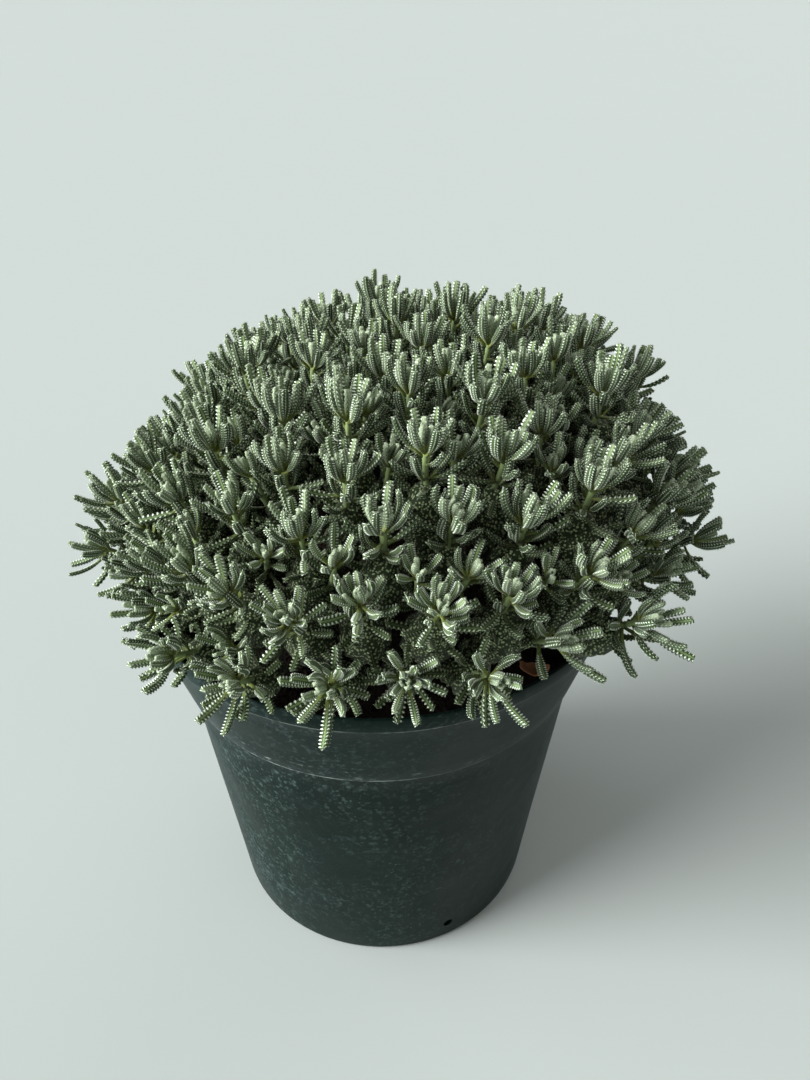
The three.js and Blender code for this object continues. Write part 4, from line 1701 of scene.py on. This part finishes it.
@dataclass
class LeafyStems:
    """Every leafy stem: forked, woolly, its shoots set with whorls of knobbed leaves.

    The shoots and their main leaves are those of the solids. Middle, heart and older leaves and small
    side shoots fill in between them.
    """

    dome: Dome
    pot: NurseryPot
    wood: WoodyBase
    seed: int = 20301
    gap: float = 0.3
    fork_depth: float = 9
    clearance: float = 0.5
    interleave: float = -4.0
    stem_radius: float = 1.15
    foot_radius: float = 1.6
    tube_sides: int = 8
    older_leaves: int = 13
    older_first: float = 1.5
    older_last: float = 20
    middle_leaves: int = 5
    middle_first: float = 30
    middle_stray: float = 0.45
    heart_leaves: int = 4
    leaf_twist: float = 0.7
    leaf_curl: tuple[float, float] = (-0.5, 0.25)
    vigour: tuple[float, float] = (0.85, 1.02)
    # Where the cooler tint, partly painted shade, grows: below a height and towards the right.
    cool_below_z: float = 215
    cool_depth: float = 45
    cool_reach: float = 110
    cores: CoreHabit = CoreHabit()
    gaps: GapHabit = GapHabit()
    open_sight: OpenSight = OpenSight()
    kinds: dict[LeafSort, LeafKind] = field(default_factory=lambda: {
        LeafSort.LOW: LeafKind(
            LeafHabit(15, 92, 60, (0.5, 1), (1.4, 2.1)),
            LeafCast(16, 1.95, 10, stalk_share=0.32),
            age=0.3,
        ),
        LeafSort.OUTER: LeafKind(
            LeafHabit(17.5, 78, 34, (0.5, 1), (1.35, 2.1)),
            LeafCast(17, 2.0, 11),
            age=0.04,
        ),
        LeafSort.MIDDLE: LeafKind(
            LeafHabit(15.5, 62, 22, (0.5, 1), (1.3, 1.6)),
            LeafCast(15, 1.85, 10),
            wool=0.06,
            age=0.02,
        ),
        LeafSort.INNER: LeafKind(
            LeafHabit(14, 34, 12, (1,), (1.9,)),
            LeafCast(14, 1.75, 9, stalk_share=0.26),
            wool=0.16,
            age=0.04,
        ),
        LeafSort.HEART: LeafKind(
            LeafHabit(9.5, 26, 2, (0.5, 1), (0.8, 0.8)),
            LeafCast(9.5, 1.4, 6, stalk_share=0.2, stalk_width=0.7, valley=0.74),
            wool=0.5,
        ),
        LeafSort.OLDER: LeafKind(
            LeafHabit(13, 84, 50, (0.5, 1), (1.2, 1.4)),
            LeafCast(13, 1.8, 7, stalk_share=0.28),
        ),
    })
    # Older leaves grow older, and darker, the deeper they sit down the stem; the darkening is partly painted
    # shade.
    older_ages: tuple[float, float] = (0.3, 1.0)
    heart_angles: tuple[float, float] = (32, 2)
    heart_lengths: tuple[float, float] = (1.2, 0.6)
    low_whorl: Whorl = Whorl(LeafSort.LOW, 180, -6.7, 4.2, 3.4)
    heart_whorls: tuple[Whorl, ...] = (
        Whorl(LeafSort.OUTER, 240, 1, 1.47, 0.9),
        Whorl(LeafSort.INNER, 300, 2, 1.47, 0.9),
    )

    def __post_init__(self) -> None:
        """Grows the shoots and models the leaves that are copied."""
        self.draws = Draws(self.seed)
        self.chance = np.random.default_rng(self.seed)
        self.shoots = self.dome.shoots(self.draws)
        self.main_room = self.room()
        self.parents = self.fill_gaps()
        self.full_room = self.room()
        low, high = (np.array(corner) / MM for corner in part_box("dry_leaf"))
        self.dry_place = (low + high) / 2
        sight = self.open_sight
        self.sight = direction_to(math.radians(sight.azimuth), math.radians(sight.elevation))
        self.shapes = {sort: kind.cast.shape(f"cast_{sort.value}") for sort, kind in self.kinds.items()}

    def room(self) -> Room:
        """Takes stock of the shoots as they are now.

        Returns:
            The room that they share.
        """
        pot = self.pot
        lip_inside = pot.lip_low_radius - pot.wall
        return Room(list(self.shoots), pot.rim_radius, pot.rim_z, lip_inside, self.dome.leaf_zone)

    def hides(self, points: np.ndarray) -> bool:
        """Tells whether any of the points would lie over the dry leaf, as it is seen from the front.

        Args:
            points: The points as rows.

        Returns:
            True where one of them does.
        """
        offset = points - self.dry_place
        along = np.maximum(offset @ self.sight, 0)
        away = np.linalg.norm(offset - along[:, None] * self.sight, axis=1)
        return bool(away.min() < self.open_sight.radius)

    def fill_gaps(self) -> dict[int, int]:
        """Grows a small side shoot into each gap between the main shoots.

        Returns:
            The number of the main shoot that each side shoot springs from.
        """
        heights = 1 - (np.arange(self.gaps.places) + 0.5) / self.gaps.places
        directions = np.array([
            direction_to(index * GOLDEN_ANGLE, math.asin(height)) for index, height in enumerate(heights)
        ])
        places = self.dome.points(directions)
        places = places - unit(places - self.dome.middle()) * self.gaps.sink
        distances = self.main_room.distances(places)
        nearest = distances.argmin(axis=1)
        free = distances.min(axis=1)
        parents = {}
        while free.max() > self.gaps.width:
            best = int(free.argmax())
            x, y, _ = directions[best]
            axis = direction_to(math.atan2(y, x), TURN / 4 - self.dome.splay(directions[best]))
            parents[len(self.shoots)] = int(nearest[best])
            self.shoots.append(self.strayed(places[best], axis))
            offset = places - places[best]
            along = np.maximum(offset @ axis, -self.dome.leaf_zone)
            free = np.minimum(free, np.linalg.norm(offset - along[:, None] * axis, axis=1))
        log.info("%d side shoots", len(parents))
        return parents

    def strayed(self, place: np.ndarray, axis: np.ndarray) -> Shoot:
        """Gives a side shoot that stands a little off its place and leans its own way.

        Args:
            place: The middle of the gap.
            axis: The way its neighbours point.

        Returns:
            The side shoot.
        """
        stray, lean = self.gaps.stray, self.gaps.lean
        heart = place + self.chance.uniform(-stray, stray, 3)
        leaning = unit(axis + self.chance.uniform(-lean, lean, 3))
        return Shoot(heart, leaning, heart - leaning * self.dome.leaf_zone)

    def build(self, finish: bpy.types.Material) -> None:
        """Builds every stem.

        Args:
            finish: The foliage material.
        """
        triangles = 0
        for stem in range(self.dome.stems):
            bush = Gathering()
            first = stem * self.dome.shoots_per_stem
            family = range(first, first + self.dome.shoots_per_stem)
            self.branch(bush, family)
            for own in family:
                vigour = self.chance.uniform(*self.vigour)
                self.core(bush, own)
                self.main_leaves(bush, own, vigour)
                self.young_leaves(bush, own, vigour)
                self.old_leaves(bush, own, self.older_leaves, 1.0)
            for own, parent in self.parents.items():
                if parent in family:
                    self.side_shoot(bush, own, parent)
            name = f"leafy_stem_{stem + 1:02d}"
            piece = bush.piece(name + "_fine")
            triangles += len(piece.data.loops) - 2 * len(piece.data.polygons)
            Bench.dress(piece, name + "_fine", "foliage", [name], finish)
        log.info("stems: %d triangles", triangles)

    def branch(self, bush: Gathering, family: range) -> None:
        """Sweeps the woolly stems from a knuckle through the fork to each heart.

        Args:
            bush: Where they go.
            family: The numbers of the stem's shoots.
        """
        belows = np.array([self.shoots[own].below for own in family])
        fork = belows.mean(axis=0)
        knuckles = self.wood.knuckles()
        knuckle = knuckles[np.linalg.norm(knuckles - fork, axis=1).argmin()]
        inward = unit(knuckle - fork)
        fork = fork + inward * self.fork_depth
        foot = knuckle - inward * (self.wood.knuckle_radius + self.gap)
        share = np.linspace(0, 1, 8)
        path = foot + share[:, None] * (fork - inward * 2 - foot)
        stem = swept(path, blend(self.foot_radius, self.stem_radius * 1.2, share), self.tube_sides)
        # The stem's high age darkens it, partly with painted shade.
        bush.add(stem.moved(stem.points, along=0.5, age=0.85, tint=0.2, over=1.0, station=-1.0))
        for own in family:
            shoot = self.shoots[own]
            self.stalk(bush, arc_between(fork, shoot.below, shoot.heart + shoot.axis * 2.5, 12))

    def stalk(self, bush: Gathering, path: np.ndarray) -> None:
        """Sweeps one stalk that is old and dark at its foot, partly with painted shade, and young at its
        end.

        Args:
            bush: Where it goes.
            path: The points that it follows.
        """
        share = np.linspace(0, 1, len(path))
        tube = swept(path, self.stem_radius * blend(1, 0.8, share), self.tube_sides)
        shape = tube.moved(tube.points, along=0.35, tint=0.3, over=1.0, station=-1.0, wool=0.6)
        shape.marks["age"] = np.repeat(blend(0.8, 0.05, share), self.tube_sides)
        bush.add(shape)

    def core(self, bush: Gathering, own: int) -> None:
        """Adds the dense mass of the oldest leaves round a shoot's stem, knobbly all over, darkened to
        near-black: partly their own colour, partly painted shade.

        Args:
            bush: Where it goes.
            own: The shoot's number.
        """
        shoot = self.shoots[own]
        habit = self.cores
        share = np.linspace(0, 1, habit.rings)
        path = shoot.heart - shoot.axis * blend(habit.foot, habit.top, share)[:, None]
        radii = habit.radius * (0.3 + 0.7 * np.sin(math.pi * (share * 0.9 + 0.05)))
        body = swept(path, radii, habit.sides)
        centres = np.repeat(path, habit.sides, axis=0)
        ring = np.repeat(np.arange(habit.rings), habit.sides)
        side = np.tile(np.arange(habit.sides), habit.rings)
        knob = (ring + side) % 2 - 0.5
        reach = 1 + habit.knob * knob + self.chance.uniform(-habit.unrest, habit.unrest, len(centres))
        points = centres + (body.points - centres) * reach[:, None]
        for point, centre in zip(points, centres):
            for _ in range(habit.draw_in_steps):
                clear = self.main_room.clear_of_pot(point, habit.corner_radius, habit.pot_gap)
                if clear and not self.hides(point[None]):
                    break
                point += (centre - point) * habit.draw_in
        bush.add(body.moved(points, along=1.0, age=1.0, tint=0.5, over=1.0, station=1.0, mass=1.0))

    def bearings(self, own: int) -> tuple[np.ndarray, np.ndarray]:
        """Gives the two directions across a shoot that its azimuths are counted from.

        Args:
            own: The shoot's number.

        Returns:
            The direction of azimuth 0 and the one a quarter turn on.
        """
        axis = self.shoots[own].axis
        reference = unit(np.cross(axis, UP) + [0.1, 0.2, 0.05])
        across = unit(reference - axis * np.dot(reference, axis))
        return across, np.cross(axis, across)

    def away(self, own: int, azimuth: float) -> np.ndarray:
        """Gives the direction away from a shoot's axis at an azimuth in radians."""
        across, beside = self.bearings(own)
        return across * math.cos(azimuth) + beside * math.sin(azimuth)

    def tint(self, own: int) -> float:
        """Gives a shoot's tint: a random tone, plus a cooler green painted as shade where it stands low or
        far to the right.

        Args:
            own: The shoot's number.

        Returns:
            The tint from 0 to 1.
        """
        heart = self.shoots[own].heart
        low = within_one((self.cool_below_z - heart[2]) / self.cool_depth)
        right = within_one(heart[0] / self.cool_reach)
        return within_one(0.15 + 0.4 * low + 0.3 * right + self.chance.uniform(-0.15, 0.15))

    def main_leaves(self, bush: Gathering, own: int, vigour: float) -> None:
        """Adds the leaves that the solid has, in the order in which it draws them.

        Args:
            bush: Where they go.
            own: The shoot's number.
            vigour: What their size is multiplied by.
        """
        tint = self.tint(own)
        order = [(self.low_whorl, corner) for corner in range(3)]
        order += [(whorl, corner) for corner in range(3) for whorl in self.heart_whorls]
        shoot = self.shoots[own]
        for whorl, corner in order:
            away = self.away(own, math.radians(whorl.first + corner * 120))
            root = shoot.heart + shoot.axis * whorl.height + away * whorl.from_axis
            kind = self.kinds[whorl.sort]
            lay = LeafLay(root, away, 0, 0, 0)
            lay = self.main_room.fit(lay, own, kind.habit, self.draws, self.clearance)
            foot = root - away * whorl.sunk
            length = lay.length + whorl.sunk * 0.8
            sunk = LeafLay(foot, away, length, lay.root_angle, lay.tip_angle)
            self.leaf(bush, own, whorl.sort, sunk, kind.age, tint, vigour)

    def young_leaves(self, bush: Gathering, own: int, vigour: float) -> None:
        """Adds the leaves between the main ones, and the heart's closed leaves.

        Args:
            bush: Where they go.
            own: The shoot's number.
            vigour: What their size is multiplied by.
        """
        shoot = self.shoots[own]
        draws = Draws(self.seed + own)
        tint = self.tint(own)
        middle = self.kinds[LeafSort.MIDDLE]
        for corner in range(self.middle_leaves):
            azimuth = math.radians(self.middle_first) + corner / self.middle_leaves * TURN
            away = self.away(own, azimuth + draws.between(-self.middle_stray, self.middle_stray))
            root = shoot.heart + shoot.axis * (1.2 + (corner % 3) * 0.5) + away * 0.6
            lay = LeafLay(root, away, 0, 0, 0)
            lay = self.full_room.fit(lay, own, middle.habit, draws, self.interleave)
            self.leaf(bush, own, LeafSort.MIDDLE, lay, middle.age, tint, vigour)
        closed = self.kinds[LeafSort.HEART]
        for index in range(self.heart_leaves):
            share = index / self.heart_leaves
            away = self.away(own, index * GOLDEN_ANGLE + own)
            root = shoot.heart + shoot.axis * (2.0 + share * 2) + away * blend(0.4, 0, share)
            angle = math.radians(blend(*self.heart_angles, share) + draws.between(-4, 4))
            length = closed.habit.length * blend(*self.heart_lengths, share)
            lay = LeafLay(root, away, length, angle, angle * 0.1)
            self.leaf(bush, own, LeafSort.HEART, lay, closed.age, tint, vigour)

    def old_leaves(self, bush: Gathering, own: int, count: int, vigour: float) -> None:
        """Adds the darker leaves down the stem, darker the deeper they sit: partly their own colour, partly
        painted shade.

        Args:
            bush: Where they go.
            own: The shoot's number.
            count: How many there are.
            vigour: What their size is multiplied by.
        """
        shoot = self.shoots[own]
        draws = Draws(self.seed * 3 + own)
        habit = self.kinds[LeafSort.OLDER].habit
        for index in range(count):
            share = index / (count - 1)
            away = self.away(own, index * GOLDEN_ANGLE + own * 1.7)
            depth = blend(self.older_first, self.older_last, share) * vigour
            root = shoot.heart - shoot.axis * depth + away * 0.6
            lay = LeafLay(root, away, 0, 0, 0)
            lay = self.full_room.fit(lay, own, habit, draws, self.interleave * 2)
            self.leaf(bush, own, LeafSort.OLDER, lay, blend(*self.older_ages, share), 0.5, vigour)

    def side_shoot(self, bush: Gathering, own: int, parent: int) -> None:
        """Adds a small shoot that springs from the stem of a main one.

        Args:
            bush: Where it goes.
            own: The side shoot's number.
            parent: The main shoot's number.
        """
        shoot = self.shoots[own]
        start = self.shoots[parent].below
        self.stalk(bush, arc_between(start, shoot.below, shoot.heart + shoot.axis * 2, 10))
        vigour = self.chance.uniform(*self.gaps.vigour)
        self.young_leaves(bush, own, vigour)
        self.old_leaves(bush, own, self.older_leaves * 2 // 3, vigour)

    def leaf(
        self, bush: Gathering, own: int, sort: LeafSort, lay: LeafLay, age: float, tint: float, vigour: float
    ) -> None:
        """Adds one leaf.

        Args:
            bush: Where it goes.
            own: Its shoot's number.
            sort: Which sort it is.
            lay: How it lies.
            age: Its age from 0 to 1.
            tint: Its shoot's tint from 0 to 1.
            vigour: What its size is multiplied by.
        """
        width = self.chance.uniform(0.9, 1.1) * vigour ** 0.5
        twist = self.chance.uniform(-self.leaf_twist, self.leaf_twist)
        curl = self.chance.uniform(*self.leaf_curl)
        own_tint = within_one(tint + self.chance.uniform(-0.15, 0.15))
        own_age = within_one(age + self.chance.uniform(-0.04, 0.1))
        lay = LeafLay(lay.root, lay.away, lay.length * vigour, lay.root_angle, lay.tip_angle + curl)
        axis = self.shoots[own].axis
        kind = self.kinds[sort]
        points = laid_leaf(self.shapes[sort], axis, lay, kind.cast.length, width, twist)
        if sort in (LeafSort.OLDER, LeafSort.MIDDLE, LeafSort.HEART) and self.hides(points):
            return
        bush.add(self.shapes[sort].moved(points, age=own_age, tint=own_tint, wool=kind.wool))


@dataclass
class DryLeaf:
    """A curled brown leaf that has dropped inside the rim."""

    half_width: float = 3.3
    arc_length: float = 13
    curl: float = 2.2
    ripple: float = 0.35
    thickness: float = 0.6
    azimuth: float = -44
    turn: float = 0.6

    def build(self, finish: bpy.types.Material) -> None:
        """Models the leaf inside its solid's box.

        Args:
            finish: Its material.
        """
        low, high = (np.array(corner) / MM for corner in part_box("dry_leaf"))
        centre = (low + high) / 2
        Bench.put_down()
        bpy.ops.mesh.primitive_grid_add(x_subdivisions=18, y_subdivisions=8, size=2)
        blade = bpy.context.object
        points = points_of(blade.data)
        share = points[:, 0] / 2
        side = points[:, 1]
        half = self.half_width * (0.22 + 0.78 * np.cos(share * math.pi) ** 0.7)
        angle = share * self.curl
        radius = self.arc_length / self.curl
        ripple = self.ripple * np.sin(share * 14 + side * 2)
        x = radius * np.sin(angle)
        y = side * half
        z = ripple + 0.12 * y * y - radius * np.cos(angle)
        z += low[2] + self.thickness / 2 - z.min()
        turn = math.radians(self.azimuth) + self.turn
        cosine, sine = math.cos(turn), math.sin(turn)
        placed = np.stack([x * cosine - y * sine + centre[0], x * sine + y * cosine + centre[1], z], axis=1)
        move_points(blade.data, placed * MM)
        Bench.apply(blade, "SOLIDIFY", thickness=self.thickness * MM, offset=0)
        Bench.apply(blade, "SUBSURF", levels=1, render_levels=1)
        Bench.take(blade)
        bpy.ops.object.shade_smooth()
        Bench.dress(blade, "fallen_leaf", "dry_leaf", ["dry_leaf"], finish)


@dataclass(frozen=True)
class Lamp:
    """A broad, soft light: where it comes from, how wide it looks in degrees, and its strength."""

    name: str
    place: Triple
    spread: float
    power: float
    colour: Triple


@dataclass
class Studio:
    """The pale floor, the soft light and the camera at the photograph's angle."""

    lamps: tuple[Lamp, ...] = (
        Lamp("window", (-5.0, -1.7, 2.5), 38, 7.5, (0.98, 1.0, 0.99)),
        Lamp("side", (-3.0, 0.3, 0.9), 60, 2.2, (0.95, 1.0, 1.0)),
        Lamp("fill", (1.5, -1.0, 1.0), 50, 0.3, (1.0, 0.98, 0.95)),
        Lamp("back", (2.0, 2.6, 1.6), 60, 0.7, (1.0, 1.0, 0.98)),
    )
    aim_z: float = 0.18
    room_colour: Rgba = (0.94, 0.97, 0.94, 1)
    room_strength: float = 0.4
    floor_size: float = 40
    camera_place: Triple = (0.0150, -0.2907, 0.3673)
    camera_pitch: float = 33.86
    camera_yaw: float = -0.90
    focal_pixels: float = 879.5
    frame_height: float = 1080
    sensor: float = 36
    clip_start: float = 0.01

    def floor(self) -> None:
        """Lays the floor."""
        Bench.put_down()
        bpy.ops.mesh.primitive_plane_add(size=self.floor_size, location=(0, 0, 0))
        floor = bpy.context.object
        floor.name = "floor"
        floor.data.materials.append(PaleFloor().material())

    def light(self, lamp: Lamp) -> None:
        """Hangs one lamp and aims it at the plant.

        Args:
            lamp: The lamp.
        """
        Bench.put_down()
        bpy.ops.object.light_add(type="SUN", location=lamp.place)
        hung = bpy.context.object
        hung.name = lamp.name
        hung.data.angle = math.radians(lamp.spread)
        hung.data.energy = lamp.power
        hung.data.color = lamp.colour
        aim = hung.location * -1
        aim.z += self.aim_z
        hung.rotation_euler = aim.to_track_quat("-Z", "Y").to_euler()

    def room(self) -> None:
        """Sets the soft light that comes from all round."""
        world = bpy.data.worlds.new("room")
        bpy.context.scene.world = world
        world.use_nodes = True
        sky = world.node_tree.nodes["Background"]
        sky.inputs["Color"].default_value = self.room_colour
        sky.inputs["Strength"].default_value = self.room_strength

    def camera(self) -> None:
        """Sets the camera up."""
        Bench.put_down()
        bpy.ops.object.camera_add(location=self.camera_place)
        camera = bpy.context.object
        tilt = math.radians(90 - self.camera_pitch)
        camera.rotation_euler = (tilt, 0, -math.radians(self.camera_yaw))
        camera.data.sensor_width = self.sensor
        camera.data.lens = self.sensor * self.focal_pixels / self.frame_height
        camera.data.clip_start = self.clip_start
        bpy.context.scene.camera = camera

    def build(self) -> None:
        """Builds the stage."""
        self.floor()
        for lamp in self.lamps:
            self.light(lamp)
        self.room()
        self.camera()
        bpy.context.scene.view_settings.view_transform = "Standard"


def main() -> None:
    """Builds the stage and every piece."""
    logging.basicConfig(level=logging.INFO, format="%(message)s")
    Studio().build()
    pot = NurseryPot()
    wood = WoodyBase()
    pot.build(PotPlastic().material())
    SoilFill().build(pot, PottingMix().material())
    wood.build(Bark().material())
    LeafyStems(Dome(), pot, wood).build(WoollyLeaf().material())
    DryLeaf().build(DryBlade().material())


if __name__ == "__main__":
    main()
